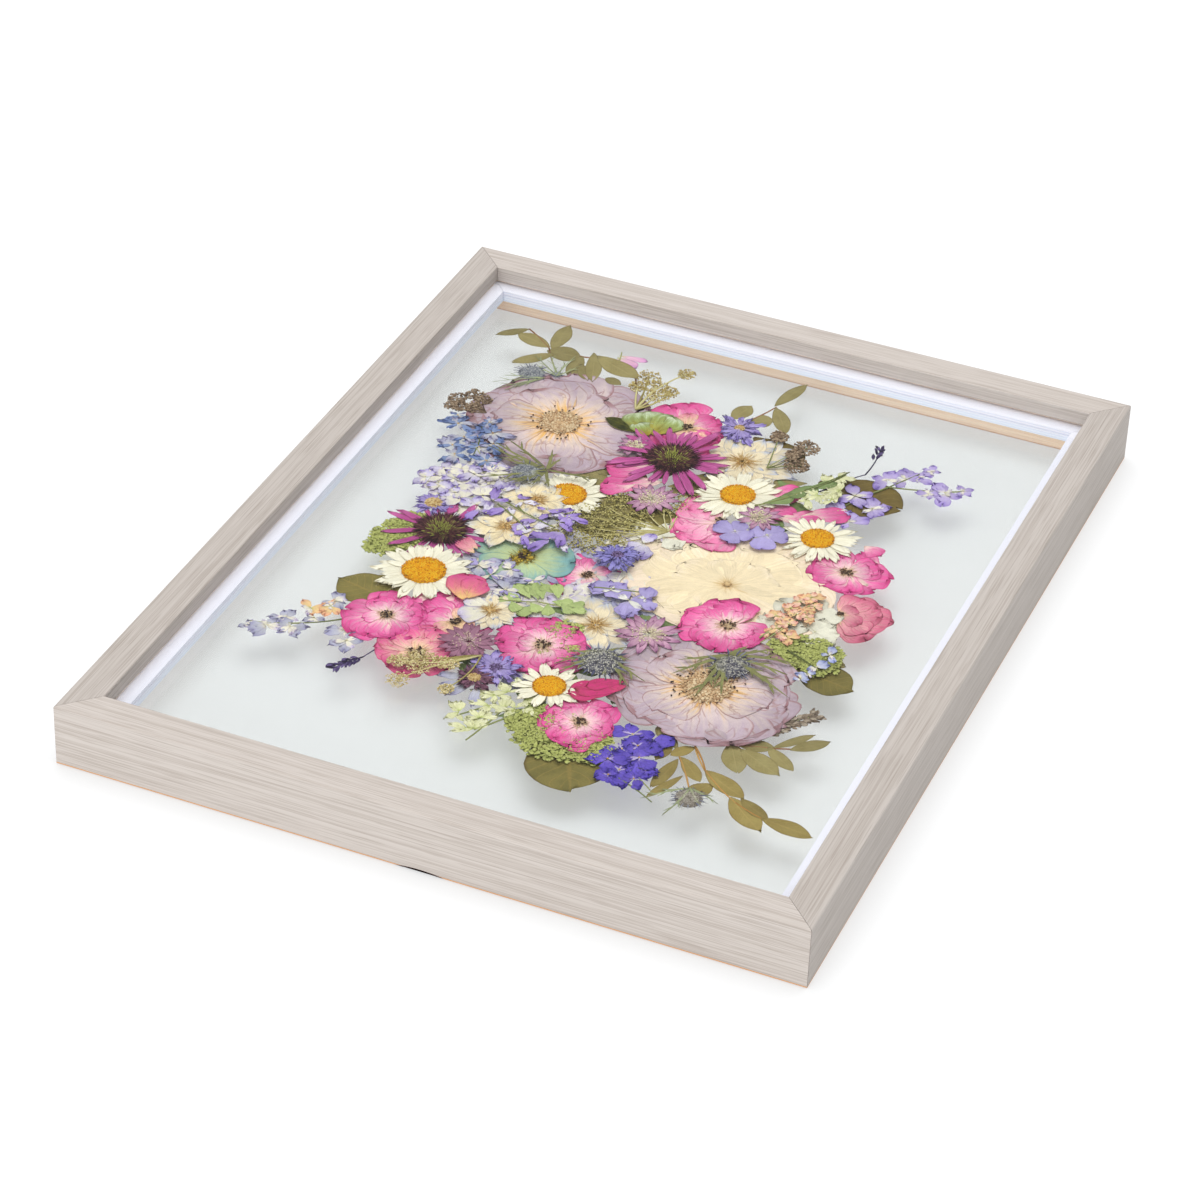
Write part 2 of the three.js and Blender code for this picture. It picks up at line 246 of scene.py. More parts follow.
def petalPattern(tree, given):
    # Base, middle and tip colours along the petal, with streaks that run from base to tip,
    # a darker rim, crumpled folds and blotches
    along, across, tone = bladePlace(tree)
    marks = SimpleNamespace(**petalMarks)
    lane = tone * marks.laneStep
    streak = noise(combined(along * marks.streakRows, across * given.lanes, lane), 1.0, 3.0)
    drift = along + (streak - 0.5) * given.drift
    color = blend(ease(drift, 0.0, given.reach), given.base, given.middle)
    color = blend(ease(drift, given.tipStart, 1.0), color, given.tip)
    fromSide = 1.0 - abs(across * 2.0 - 1.0)
    edge = fromSide.math("MINIMUM", (1.0 - along) * marks.tipEdge)
    rim = (1.0 - ease(edge, 0.0, given.rimWidth)) * (streak * marks.rimStreak + marks.rimFloor)
    color = blend(rim, color, given.rim)
    wander = noise(combined(along, across, lane), marks.wanderScale, 3.0)
    foldPlace = combined(along * given.foldRows + wander, across * given.foldLanes + wander, lane)
    inputs = {"Vector": foldPlace, "Scale": 1.0}
    fromFold = chain("TexVoronoi", inputs, "Distance", feature="DISTANCE_TO_EDGE")
    fold = 1.0 - ease(fromFold, 0.0, marks.foldWidth)
    fold = fold * ease(wander, marks.foldFrom, marks.foldFull)
    color = blend(fold * given.folds, color, given.crease)
    spot = noise(objectPlace(tree), marks.spotScale, 3.0)
    shade = (spot - 0.5) * given.blotches + (streak - 0.5) * given.streaks
    shade = shade * 2.0 + marks.shadeFloor + tone * marks.shadeByTone
    return blend(1.0, color, shade, "MULTIPLY"), streak + fold * marks.foldHeight


def leafPattern(tree, given):
    # A leaf's blade with a midrib, slanting side veins, a darker edge and mottling
    along, across, tone = bladePlace(tree)
    marks = SimpleNamespace(**leafMarks)
    fromMiddle = abs(across * 2.0 - 1.0)
    place = objectPlace(tree)
    patch = ease(noise(place, marks.patchScale, 4.0), marks.patchFrom, marks.patchFull)
    color = blend(patch * given.mottling, given.blade, given.mottle)
    wave = (along * marks.veinPairs - fromMiddle * marks.veinSlant).math("FRACT")
    vein = 1.0 - ease(abs(wave - 0.5), 0.0, marks.veinWidth)
    color = blend(vein * given.veins, color, given.rib)
    rib = 1.0 - ease(fromMiddle, marks.ribFrom, marks.ribTo)
    color = blend(rib * given.ribs, color, given.rib)
    color = blend(ease(fromMiddle, marks.edgeFrom, 1.0) * marks.edgeMix, color, given.edge)
    grain = noise(place, marks.grainScale, 2.0)
    shade = tone * marks.shadeByTone + marks.shadeFloor + (grain - 0.5) * marks.grainMix
    height = grain + rib.math("MAXIMUM", vein) * marks.veinHeight
    return blend(1.0, color, shade, "MULTIPLY"), height


def seedPattern(tree, given):
    # Small lumps, threads and spines: three colours by tone, darker at the foot
    along, _, tone = bladePlace(tree)
    marks = SimpleNamespace(**seedMarks)
    speck = noise(objectPlace(tree), marks.speckScale, 2.0)
    mixed = speck * marks.speckMix + tone * marks.toneMix
    color = blend(ease(mixed, *marks.middleSpan), given.dark, given.middle)
    color = blend(ease(mixed, *marks.lightSpan), color, given.light)
    dim = 1.0 - (1.0 - ease(along, 0.0, marks.footEnd)) * given.foot
    return blend(1.0, color, dim, "MULTIPLY"), speck


def woodPattern(tree, given):
    # Fine streaks along place's x axis over slow bands, with short dark pores
    marks = SimpleNamespace(**woodMarks)
    fine, band, pore = (
        noise(chain("VectorMath", {0: given.place, 1: scale}, operation="MULTIPLY"), 1.0, detail)
        for scale, detail in ((marks.fine, 3.0), (marks.band, 3.0), (marks.pore, 2.0))
    )
    color = blend(ease(band, *marks.bandSpan), given.light, given.middle)
    color = blend(ease(fine, *marks.fineSpan) * marks.fineMix, color, given.dark)
    dash = ease(pore, *marks.poreSpan) * given.pores
    return blend(dash, color, given.dark), fine - dash * marks.poreDepth


patterns = {
    "petal": dict(
        make=petalPattern, colors=("base", "middle", "tip", "rim", "crease"),
        roughness=0.7, relief=0.35,
        numbers=dict(
            reach=0.4, tipStart=0.6, rimWidth=0.15, streaks=0.3, folds=0.4, foldRows=3.0,
            foldLanes=3.4, blotches=0.15, lanes=10.0, drift=0.55,
        ),
    ),
    "leaf": dict(
        make=leafPattern, colors=("blade", "mottle", "edge", "rib"), roughness=0.6, relief=0.3,
        numbers=dict(mottling=0.6, veins=0.35, ribs=0.5),
    ),
    "seed": dict(
        make=seedPattern, colors=("dark", "middle", "light"), roughness=0.75, relief=0.3,
        numbers=dict(foot=0.5),
    ),
    "wood": dict(
        make=woodPattern, colors=("light", "middle", "dark"), numbers=dict(pores=0.5),
        vectors=("place",),
    ),
}


def buildGroup(kind, look):
    # A group with colour, number and vector inputs and the outputs Color and Height
    tree = bpy.data.node_groups.new(kind + "Pattern", "ShaderNodeTree")
    inputs = dict.fromkeys(look["colors"], "Color") | dict.fromkeys(look["numbers"], "Float")
    for label, form in (inputs | dict.fromkeys(look.get("vectors", ()), "Vector")).items():
        socket = tree.interface.new_socket(label, in_out="INPUT", socket_type="NodeSocket" + form)
        if form == "Float":
            socket.default_value = look["numbers"][label]
    for label, form in (("Color", "Color"), ("Height", "Float")):
        tree.interface.new_socket(label, in_out="OUTPUT", socket_type="NodeSocket" + form)
    sockets = tree.nodes.new("NodeGroupInput").outputs
    results = look["make"](tree, SimpleNamespace(**{socket.name: Wire(socket) for socket in sockets}))
    ends = tree.nodes.new("NodeGroupOutput").inputs
    for wire, end in zip(results, ends):
        tree.links.new(wire.socket, end)
    return tree


groups = {kind: buildGroup(kind, look) for kind, look in patterns.items()}


def placePattern(tree, kind, colors, level=1.0, **values):
    # The group's colour and height in a material. The last colour also stands for a missing one.
    colors = [dye(color, level) for color in colors.split()]
    values |= dict(zip(patterns[kind]["colors"], colors + colors[-1:]))
    outputs = addNode(tree, "Group", values, node_tree=groups[kind]).outputs
    return Wire(outputs["Color"]), Wire(outputs["Height"])


# Surround

def makeSurround():
    world = bpy.data.worlds.new("studio")
    world.use_nodes = True
    tree = world.node_tree
    tree.nodes.clear()
    path = addNode(tree, "LightPath").outputs
    level = spanned(Wire(path["Is Glossy Ray"]), surround["skyDiffuse"], surround["skyGlossy"])
    level = level.math("MAXIMUM", Wire(path["Is Camera Ray"]))
    sky = addNode(tree, "Background", {"Color": (1.0, 1.0, 1.0, 1.0), "Strength": level})
    addNode(tree, "OutputWorld", {0: Wire(sky.outputs[0])})
    bpy.context.scene.world = world


def makeFloor():
    # White paper that glows a little as painted light filling in the shadows on it, and is painted dark
    # under the rails as painted shadow
    half = surround["size"] / 2
    corners = [(-half, -half), (half, -half), (half, half), (-half, half)]
    mesh = bpy.data.meshes.new("floor")
    mesh.from_pydata([(x, y, -surround["drop"]) for x, y in corners], [], [(0, 1, 2, 3)])
    floor = bpy.data.objects.new("floor", mesh)
    bpy.context.scene.collection.objects.link(floor)
    paper, tree = newMaterial("white_paper")
    x, y, _ = separated(tree, "TexCoord", "Object")
    outer, inner = (
        (abs(x) < halfX) * (abs(y) < halfY)
        for halfX, halfY in (surround["railOuter"], surround["railInner"])
    )
    # Painted shadow: where the floor is shut in under the rails it is painted dark and given no glow
    railShadowMask = outer - inner
    cover(tree, {
        "Base Color": blend(railShadowMask, surround["paper"], surround["paintedRailShadow"]),
        "Emission Strength": (1.0 - railShadowMask) * surround["paintedGlow"],
        "Roughness": surround["roughness"], "Specular IOR Level": surround["specular"],
    })
    mesh.materials.append(paper)


makeSurround()
makeFloor()


# The frame: moulding, spacers, points and panes

print("moulding and glass")

moulding = dict(
    faced="c4bcb6 bfb7b0 9e938a", bare="ffe6c8 fad8b6 e4be96", pores=0.55,
    roughness=0.55, specular=0.35, relief=0.35, depth=0.1,
    outerX=0.18895, outerY=0.23975, rawInset=0.0003, rawBelow=0.0246, rawFoot=0.0006, foot="cc986c",
    # The dark brown over the notch in the front rail's foot is painted shadow
    # The long rails are painted darker as painted shade, for the weaker sheen that falls across their
    # grain
    scallop="402a24", scallopReach=0.0125, scallopHeight=0.0012, longRailShade=0.88,
)
strip = dict(
    top="eeeefa", foot="eaf0fd", line="ccd7f1", lines=4.0, lineWidth=0.16, whiteSpan=(0.2, 0.8),
    roughness=0.45, footHeight=0.01555, tall=0.00635,
)
steel = dict(color="96989a", roughness=0.35, spread=0.08, dull=0.93, bright=1.05, scale=900.0)
glass = dict(tint=(0.985, 0.996, 0.993, 1.0), shadowTint=(0.99, 0.995, 0.993, 1.0), ior=1.5)


def woodFinish(name, alongY, level=1.0):
    # Faced wood, and bare wood wherever the surface is inside the outer face and under the lip
    material, tree = newMaterial(name)
    x, y, z = separated(tree, "TexCoord", "Object")
    numbers = dict(place=combined(y, x, z) if alongY else combined(x, y, z), pores=moulding["pores"])
    faced, height = placePattern(tree, "wood", moulding["faced"], level, **numbers)
    bare, _ = placePattern(tree, "wood", moulding["bare"], **numbers)
    outer, limit = (x, moulding["outerX"]) if alongY else (y, moulding["outerY"])
    inside = abs(outer) < limit - moulding["rawInset"]
    color = blend(inside * (z < moulding["rawBelow"]), faced, bare)
    color = blend(z < moulding["rawFoot"], color, dye(moulding["foot"]))
    if not alongY:
        # Painted shadow in the notch's mouth under the middle: dark where z is less than its height
        # times 1 - (x / reach)^2
        out = x * (1 / moulding["scallopReach"])
        notchShadowMask = (z < (1.0 - out * out) * moulding["scallopHeight"]) * (y < 0.0)
        color = blend(notchShadowMask, color, dye(moulding["scallop"]))
    inputs = {
        "Base Color": color, "Roughness": moulding["roughness"],
        "Specular IOR Level": moulding["specular"],
    }
    cover(tree, inputs, height, moulding["relief"], moulding["depth"])
    return material


def stripFinish():
    # White that turns bluish towards the foot, with fine bluish lines along the strip
    material, tree = newMaterial("white_strip")
    up = (separated(tree, "TexCoord", "Object")[2] - strip["footHeight"]) * (1 / strip["tall"])
    color = blend(ease(up, *strip["whiteSpan"]), dye(strip["foot"]), dye(strip["top"]))
    wave = abs((up * strip["lines"]).math("FRACT") - 0.5)
    color = blend(1.0 - ease(wave, 0.0, strip["lineWidth"]), color, dye(strip["line"]))
    cover(tree, {"Base Color": color, "Roughness": strip["roughness"]})
    return material


def steelFinish():
    # Steel with faint unevenness in its colour and gloss
    material, tree = newMaterial("point_steel")
    cloud = noise(objectPlace(tree), steel["scale"], 3.0)
    dim = spanned(cloud, steel["dull"], steel["bright"])
    low, high = steel["roughness"] - steel["spread"], steel["roughness"] + steel["spread"]
    color = blend(1.0, dye(steel["color"]), dim, "MULTIPLY")
    cover(tree, {"Base Color": color, "Roughness": spanned(cloud, low, high), "Metallic": 1.0})
    return material


def glassFinish():
    # Clear glass that lets shadow rays and soft light straight through
    material, tree = newMaterial("pane_glass")
    inputs = {
        "Base Color": glass["tint"], "Roughness": 0.0, "IOR": glass["ior"], "Transmission Weight": 1.0,
    }
    clear = addNode(tree, "BsdfPrincipled", inputs).outputs[0]
    path = addNode(tree, "LightPath").outputs
    soft = Wire(path["Is Shadow Ray"]).math("MAXIMUM", Wire(path["Is Diffuse Ray"]))
    straight = addNode(tree, "BsdfTransparent", {"Color": glass["shadowTint"]}).outputs[0]
    mixed = chain("MixShader", {0: soft, 1: Wire(clear), 2: Wire(straight)})
    addNode(tree, "OutputMaterial", {0: mixed})
    return material


def dress(material, start):
    # The material on every node whose name starts this way
    for name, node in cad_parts.items():
        if name.startswith(start):
            for slot in node.material_slots:
                slot.material = material


shortRails = woodFinish("wood_short_rails", alongY=False)
# The long rails are painted darker than the short ones: painted shade for the weaker sheen across their
# grain
longRails = woodFinish("wood_long_rails", alongY=True, level=moulding["longRailShade"])
dress(shortRails, ("rail_front", "rail_back"))
dress(longRails, ("rail_left", "rail_right"))
dress(stripFinish(), "spacer")
dress(steelFinish(), "framers_point")
dress(glassFinish(), ("front_pane", "back_pane"))


# Finishes of the specimens. Petals are base, middle, tip, rim and crease colours, leaves are blade,
# mottle, edge and rib, and seeds, threads and stems are dark, middle and light.

print("finishes")

specimen = dict(level=0.86, specular=0.3, depth=0.3)  # as seen under the front pane
finishTables = [
    ("petal", dict(
        rimWidth=0.08, folds=0.55, foldRows=2.4, foldLanes=7.0, blotches=0.16, streaks=0.24,
        drift=1.2,
    ), {
        "mauve_outer": (
            "fac468 e0ccc8 baa6b2 9e7074 9e706e",
            dict(reach=0.5, tipStart=0.26, lanes=17.0),
        ),
        "mauve_middle": (
            "fac062 e8d2c2 c4b0b8 9e7074 9e706e",
            dict(reach=0.66, tipStart=0.4, lanes=14.0),
        ),
    }),
    ("petal", dict(
        rimWidth=0.03, folds=0.4, foldRows=1.6, foldLanes=9.0, blotches=0.1, streaks=0.2,
        drift=0.8, relief=0.4, reach=0.24,
    ), {
        "ivory_outer": ("f2d8a8 fdeaca fee8d0 f6e4c0 ecd4a8", dict(lanes=30.0)),
        "ivory_inner": ("e6c288 fce8c2 fdeacc f6e4c0 ecd4a8", dict(tipStart=0.8, lanes=26.0)),
    }),
    ("petal", dict(
        tipStart=0.4, rimWidth=0.11, folds=0.55, foldRows=2.4, foldLanes=6.0, blotches=0.18,
        lanes=20.0, drift=1.2, streaks=0.42, relief=0.6,
    ), {
        "pink_pale": ("fce2ca f8bace ee82b0 ce4a84 d06090", dict(reach=0.5)),
        "pink_outer": ("fce4d2 f498c0 e4589c c23276 ca427c", dict(reach=0.62, tipStart=0.3)),
        "pink_inner": ("fadeb6 faccd4 ee80b4 ce4686 d25a8c", dict(reach=0.5)),
        "peach_outer": ("fadebe f4a6ae e46096 bc3668 c65468", dict(reach=0.62)),
        "peach_inner": ("fad89c faceb0 f09cac d0647e d27874", dict(reach=0.55, tipStart=0.5)),
        "dusty_outer": ("f6daa2 eca4ac d66c8c ac4a62 b25c6a", dict()),
    }),
    ("petal", dict(), {
        "ivory_ray": (
            "e2d292 faf4dc fcf7e4 dcd0ac d8caa4",
            dict(
                reach=0.3, tipStart=0.7, rimWidth=0.14, streaks=0.14,
                folds=0.2, blotches=0.05, lanes=5.0,
            ),
        ),
        "magenta_ray": (
            "96366a ba5092 ca68a4 8c366a 9a3a70",
            dict(
                reach=0.2, tipStart=0.5, rimWidth=0.14, streaks=0.45,
                folds=0.2, blotches=0.16, lanes=9.0,
            ),
        ),
        "mist_petal": (
            "cca062 f0e0be c2c8d8 9296b2 c4a87e",
            dict(
                reach=0.3, tipStart=0.66, rimWidth=0.1, streaks=0.2, folds=0.35,
                foldRows=1.3, foldLanes=7.0, lanes=14.0,
            ),
        ),
        "mist_pale": (
            "d6b06c f6e4ba d8d8d6 928aa0 c8aa82",
            dict(
                reach=0.3, tipStart=0.64, rimWidth=0.1, streaks=0.2,
                foldRows=1.3, foldLanes=7.0, lanes=14.0,
            ),
        ),
        "teal_petal": (
            "ced084 bece9e 80aeae 628e92 7a9e98",
            dict(
                tipStart=0.36, rimWidth=0.12, streaks=0.16, folds=0.3,
                foldLanes=7.0, lanes=18.0, drift=0.8,
            ),
        ),
        "bud_deep_pink": (
            "d64a78 ce3676 c43c6e 963246 9c4646",
            dict(reach=0.3, rimWidth=0.12, streaks=0.25, folds=0.7),
        ),
        "bud_peach": (
            "f0c47e e4748e d6508e b2325e c45468",
            dict(reach=0.6, tipStart=0.5, rimWidth=0.14, streaks=0.25, folds=0.5),
        ),
        "pale_green_petal": (
            "aa962c 9aac68 c6d2b0 7e844c 84843e",
            dict(
                reach=0.85, tipStart=0.66, rimWidth=0.12, streaks=0.35, folds=0.6,
                foldLanes=6.0, blotches=0.35, lanes=12.0,
            ),
        ),
    }),
    ("petal", dict(reach=0.3, tipStart=0.5, rimWidth=0.16, streaks=0.2, folds=0.2, lanes=7.0), {
        "mauve_bract": (
            "eedcce cc9eb6 9e668c 744064 8c5878",
            dict(reach=0.4, tipStart=0.55, rimWidth=0.2, folds=0.15, lanes=6.0),
        ),
        "dark_bract": (
            "ceacb2 a4748a 8e5e74 64384e 7a4a5e",
            dict(tipStart=0.6, rimWidth=0.2, streaks=0.25, lanes=6.0),
        ),
        "scabious_lilac": (
            "baacd4 ac9cd4 a090d0 806eb6",
            dict(reach=0.4, tipStart=0.6, rimWidth=0.15, streaks=0.25, lanes=5.0),
        ),
        "corn_blue": (
            "7c70ac 8e86ca a29cda 6c62a6",
            dict(reach=0.4, tipStart=0.6, rimWidth=0.15, streaks=0.25, lanes=5.0),
        ),
        "plum_petal": (
            "6e4654 784e62 8c6076 543242",
            dict(reach=0.4, tipStart=0.6, rimWidth=0.15, streaks=0.25, lanes=5.0),
        ),
        "lilac_petal": ("ece4de beaedc a490d0 826cb8", dict(reach=0.35)),
        "violet_petal": (
            "8e7ad2 6c58c4 5a48b8 3e2e8c",
            dict(rimWidth=0.14, streaks=0.4, folds=0.6, lanes=12.0, drift=0.9, relief=0.6),
        ),
        "blue_petal": ("c0c4d4 8698c2 7084ba 526292", dict(streaks=0.25, folds=0.25)),
        "sky_petal": ("f0ecde c6cae6 a2acdc 7e86c4", dict(reach=0.4, rimWidth=0.14)),
        "grey_blue_petal": (
            "e2dac4 bebecc a2a0c0 807a9e 86829c",
            dict(reach=0.4, tipStart=0.45, streaks=0.3, folds=0.4, drift=0.8),
        ),
        "cream_petal": (
            "f0e8c4 eee8d4 d6cce0 b8a8ce",
            dict(tipStart=0.55, rimWidth=0.18, streaks=0.12, folds=0.3),
        ),
        "white_petal": ("f0ead2 f0eee4 e2dee0 ccc4c8", dict(tipStart=0.6, streaks=0.1)),
        "hydrangea_petal": (
            "d0c6e2 b0a4d6 a496ce 8c7aba",
            dict(reach=0.2, tipStart=0.6, rimWidth=0.12, streaks=0.15, folds=0.15, lanes=9.0),
        ),
        "hydrangea_pale": (
            "eee8dc d4cce2 aa9ad2 8876ba",
            dict(reach=0.4, rimWidth=0.14, streaks=0.15, folds=0.3, lanes=8.0, drift=0.8),
        ),
        "violet_shard": (
            "d2c6e4 ac94d6 9a7ecc 745aaa",
            dict(reach=0.25, rimWidth=0.14, streaks=0.3, folds=0.4, lanes=6.0),
        ),
        "white_shard": (
            "ece4d2 e8e2ec cec2e2 8c78b4",
            dict(tipStart=0.6, rimWidth=0.2, folds=0.4, lanes=6.0),
        ),
        "pale_petal": (
            "eae6ce eeead6 ece8d6 d8d2bc",
            dict(reach=0.2, tipStart=0.6, rimWidth=0.12, streaks=0.1, folds=0.15, lanes=9.0),
        ),
        "peach_floret": ("dad680 f2d096 f2b690 de9876", dict(streaks=0.3, folds=0.3, lanes=5.0)),
        "pink_floret": ("e6de8c f6ceb0 f0b0a0 dc8e86", dict(folds=0.3, lanes=5.0)),
        "moss_petal": ("9ca254 b2b866 cace80 80823e", dict(rimWidth=0.2, lanes=4.0)),
        "stock_petal": (
            "bec87a e2e2b2 f0eece b0b270 bab474",
            dict(reach=0.4, tipStart=0.6, streaks=0.15, folds=0.4, lanes=6.0),
        ),
        "sweet_pea": ("cece96 f0bed6 dea0ce b482b4", dict(reach=0.4, streaks=0.15)),
    }),
    ("leaf", dict(), {
        "leaf_olive": ("a29662 8e804c 705c36 b2a46e", dict()),
        "leaf_golden": ("a49254 8e7a40 70522a b8a060", dict()),
        "leaf_brown": ("786634 5c4e26 504024 8c7842", dict(veins=0.5)),
        "leaf_wide_olive": ("8a7e44 706a38 5c4c2a a08a4a", dict(veins=0.6)),
        "thistle_bract": ("acb486 96a07c 7e8c7c c8cc9c", dict(veins=0.1)),
        "olive_bract": ("8e8e58 7a7a4c 606a5c aca870", dict(veins=0.1)),
        "sprig_green": ("bccc84 a4b870 809858 d0dc9c", dict(veins=0.15)),
        "pod_green": ("889c62 6e844e 586c3c b0be82", dict(veins=0.2)),
        "leaf_dark_green": ("5c5c1e 343a20 a09628 787a2e", dict(mottling=0.9)),
    }),
    ("seed", dict(foot=0.1), {
        "stem_reddish": ("603e32 845842 a87854", dict()),
        "stem_golden": ("805428 b07c3e cca05c", dict()),
        "stem_green": ("60683a 889054 b0b27a", dict()),
        "anther_dark": ("2c2424 463630 6e543e", dict(foot=0.2)),
        "crumb_tan": ("b6906a d8b68c ecd4ae", dict(foot=0.12)),
        "crumb_pale": ("c49862 debc86 f0d8aa", dict(foot=0.2)),
        "gold_disc": ("d88400 ffb808 ffd632", dict(foot=0.08)),
        "gold_rim": ("aa6810 e29610 f6b218", dict(foot=0.2)),
        "cone_spine": ("3c222a 76444a b0b254", dict(foot=0.6)),
        "mist_thread": ("b08042 d6ac68 ecce92", dict(foot=0.15)),
        "hellebore_thread": ("52501e 9e8024 ceb246", dict(foot=0.2)),
        "cream_thread": ("c4a0a0 e0ccb2 f0e8c0", dict(foot=0.2)),
        "mauve_thread": ("906278 bc94a0 d8beac", dict(foot=0.15)),
        "tan_button": ("a07846 ccaa6e e4cc96", dict(foot=0.3)),
        "plum_button": ("3c2a46 5c466e 9680b4", dict(foot=0.3)),
        "thistle_head": ("484654 7c7a86 d4d0c6", dict(foot=0.4)),
        "pale_thistle_head": ("626674 9296a2 ced0cc", dict(foot=0.4)),
        "thistle_frill": ("3e3c56 626482 989aa4", dict(foot=0.3)),
        "grey_ball": ("80766a aca296 d8d0c2", dict(foot=0.3)),
        "thistle_hair": ("7c7e7c 9a9c9a bec0b6", dict()),
        "pistil_pale": ("b0ac6e dad6a0 f0ecce", dict()),
        "pollen_gold": ("be821e e2b03c f0cc6e", dict()),
        "lace_dot": ("746a36 b0a460 d4ca86", dict(foot=0.4)),
        "lace_stalk": ("96884c beb26e ded49c", dict()),
        "gold_dot": ("8c743c baa460 decc8c", dict(foot=0.4)),
        "lace_light": ("ae9862 d6c28a ecdeae", dict(foot=0.2)),
        "brown_dot": ("5c4a3c 8e765e b29c82", dict(foot=0.45)),
        "dark_spot": ("28221e 3e3428 5a5034", dict(foot=0.2)),
        "lavender_bud": ("28203a 483a64 746296", dict(foot=0.3)),
        "grey_bud": ("685a4e 988672 baac9a", dict(foot=0.3)),
    }),
]


def specimenFinish(kind, name, colors, relief=None, **numbers):
    look = patterns[kind]
    material, tree = newMaterial(name)
    color, height = placePattern(tree, kind, colors, specimen["level"], **numbers)
    inputs = {
        "Base Color": color, "Roughness": look["roughness"], "Specular IOR Level": specimen["specular"],
    }
    cover(tree, inputs, height, relief or look["relief"], specimen["depth"])
    return material


finishes = {
    name: specimenFinish(kind, name, colors, **(common | own))
    for kind, common, rows in finishTables
    for name, (colors, own) in rows.items()
}


# Shape tools. A part is a set of closed loops joined row by row and capped at both ends. Each
# point carries its place along and across its blade and the blade's tone.

def loopPart(rng, points, along, across, tone=None, rim=False):
    # points has the shape (pieces, rows, columns, 3); each row is one closed loop
    count, rows, columns, _ = points.shape
    whole = (count, rows, columns)
    tone = np.broadcast_to(rng.random(count) if tone is None else tone, count)[:, None, None]
    first = np.arange(count)[:, None, None] * rows * columns
    row = np.arange(rows - 1)[None, :, None] * columns
    column = np.arange(columns)[None, None, :]
    following = (column + 1) % columns
    quads = np.stack([
        first + row + column, first + row + columns + column,
        first + row + columns + following, first + row + following,
    ], axis=-1).reshape(-1, 4)
    base = first[:, 0] + np.arange(columns)
    tip = base + (rows - 1) * columns
    marks = np.stack([np.broadcast_to(value, whole) for value in (along, across, tone)], axis=-1)
    return dict(
        points=points.reshape(-1, 3), quads=quads, caps=np.concatenate([base, tip[:, ::-1]]),
        marks=marks.reshape(-1, 3), rim=np.broadcast_to(rim, whole).ravel(),
    )


def columned(depth, *values):
    # The values as arrays of one length, each with this many empty axes behind
    values = np.broadcast_arrays(*np.atleast_1d(*values))
    return [np.array(value, float).reshape(-1, *[1] * depth) for value in values]


def placed(x, y, z):
    return np.stack(np.broadcast_arrays(x, y, z), axis=-1).astype(float)


def turned(x, y, main, side, angle):
    # The place that is main ahead of x, y and side to the left of it, facing along angle
    return (
        x + main * np.cos(angle) - side * np.sin(angle), y + main * np.sin(angle) + side * np.cos(angle),
    )


def blades(rng, x, y, z, angle, length, width, swell=0.8, taper=4.0, blunt=0.5, bend=0.0,
           ruffle=0.15, ragged=0.04, lobes=0.03, notch=0.0, tilt=0.0, thick=0.12, steps=9, across=7):
    # Petals, leaves and bracts. With u along and v across, the half width is
    # width / 2 * u^swell * (1 - u^taper)^blunt at its own scale, the centre line bends sideways
    # by bend * length * u^2, and the surface ruffles up and down by sines of u and v.
    x, y, z, angle, length, width, bend, tilt = columned(2, x, y, z, angle, length, width, bend, tilt)
    u = np.sin(np.linspace(0, math.pi / 2, steps))[None, :, None]
    under = np.linspace(1, -1, across // 2 + 2)[1:-1]
    v = np.concatenate([np.linspace(-1, 1, across), under])[None, None, :]
    below = np.arange(v.size) >= across
    phase = rng.uniform(0, fullTurn, (5, len(x), 1, 1))
    body = u ** swell * (1 - u ** taper) ** blunt
    body = np.maximum(body / body.max(), 0.07)
    edge = np.sin(9 * u + phase[0] + 2 * np.sign(v)) + np.sin(17 * u + phase[1] - np.sign(v))
    sideways = width / 2 * body * (1 + ragged * edge) * v + bend * length * u ** 2
    dent = notch * np.exp(-((v / 0.35) ** 2)) * u ** 6
    lobe = lobes * u ** 2 * np.sin(3 * v + phase[3]) + ragged * u ** 3 * np.sin(8 * v + phase[2])
    onward = length * u * (1 - dent + lobe)
    wave = np.sin(3 * v + 4 * u + phase[3]) + 0.6 * np.sin(6 * v - 5 * u + phase[4])
    height = z + tilt * u + ruffle * u * wave - np.where(below, thick * (1 - v ** 4), 0)
    points = placed(*turned(x, y, onward, sideways, angle), height)
    return loopPart(rng, points, u, v / 2 + 0.5, rim=np.abs(v) == 1)


def florets(rng, x, y, z, reach, petals, breadth, turn=None, start=0.05, sweep=fullTurn,
            scatter=0.12, uneven=0.12, oval=1.0, ovalTurn=0.0, layer=0.05, sway=0.05, **shape):
    # Petals round one or more middles, spread over the angle sweep and laid over each other
    x, y, z, reach = columned(1, x, y, z, reach)
    count = len(x)
    turn = rng.uniform(0, fullTurn, (count, 1)) if turn is None else turn
    order = np.arange(petals)
    angle = turn + sweep * order / petals + rng.normal(0, scatter * sweep / petals, (count, petals))
    length = reach * (1 + rng.uniform(-uneven, uneven / 2, (count, petals)))
    length = length * (1 + (oval - 1) * np.cos(angle - ovalTurn) ** 2)
    height = z + layer * rng.permuted(np.tile(order, (count, 1)), axis=1)
    middles = turned(x, y, start * reach, 0, angle)
    shape.setdefault("bend", rng.normal(0, sway, angle.size))
    values = (*middles, height, angle, length * (1 - start), length * breadth)
    return blades(rng, *(np.broadcast_to(value, angle.shape).ravel() for value in values), **shape)


def stacked(rng, x, y, z, reach, rings, **shape):
    # Rings of petals over each other: petals, length, breadth, height and finish
    return [
        (florets(rng, x, y, z + height, reach * size, petals, breadth, **shape), finish)
        for petals, size, breadth, height, finish in rings
    ]


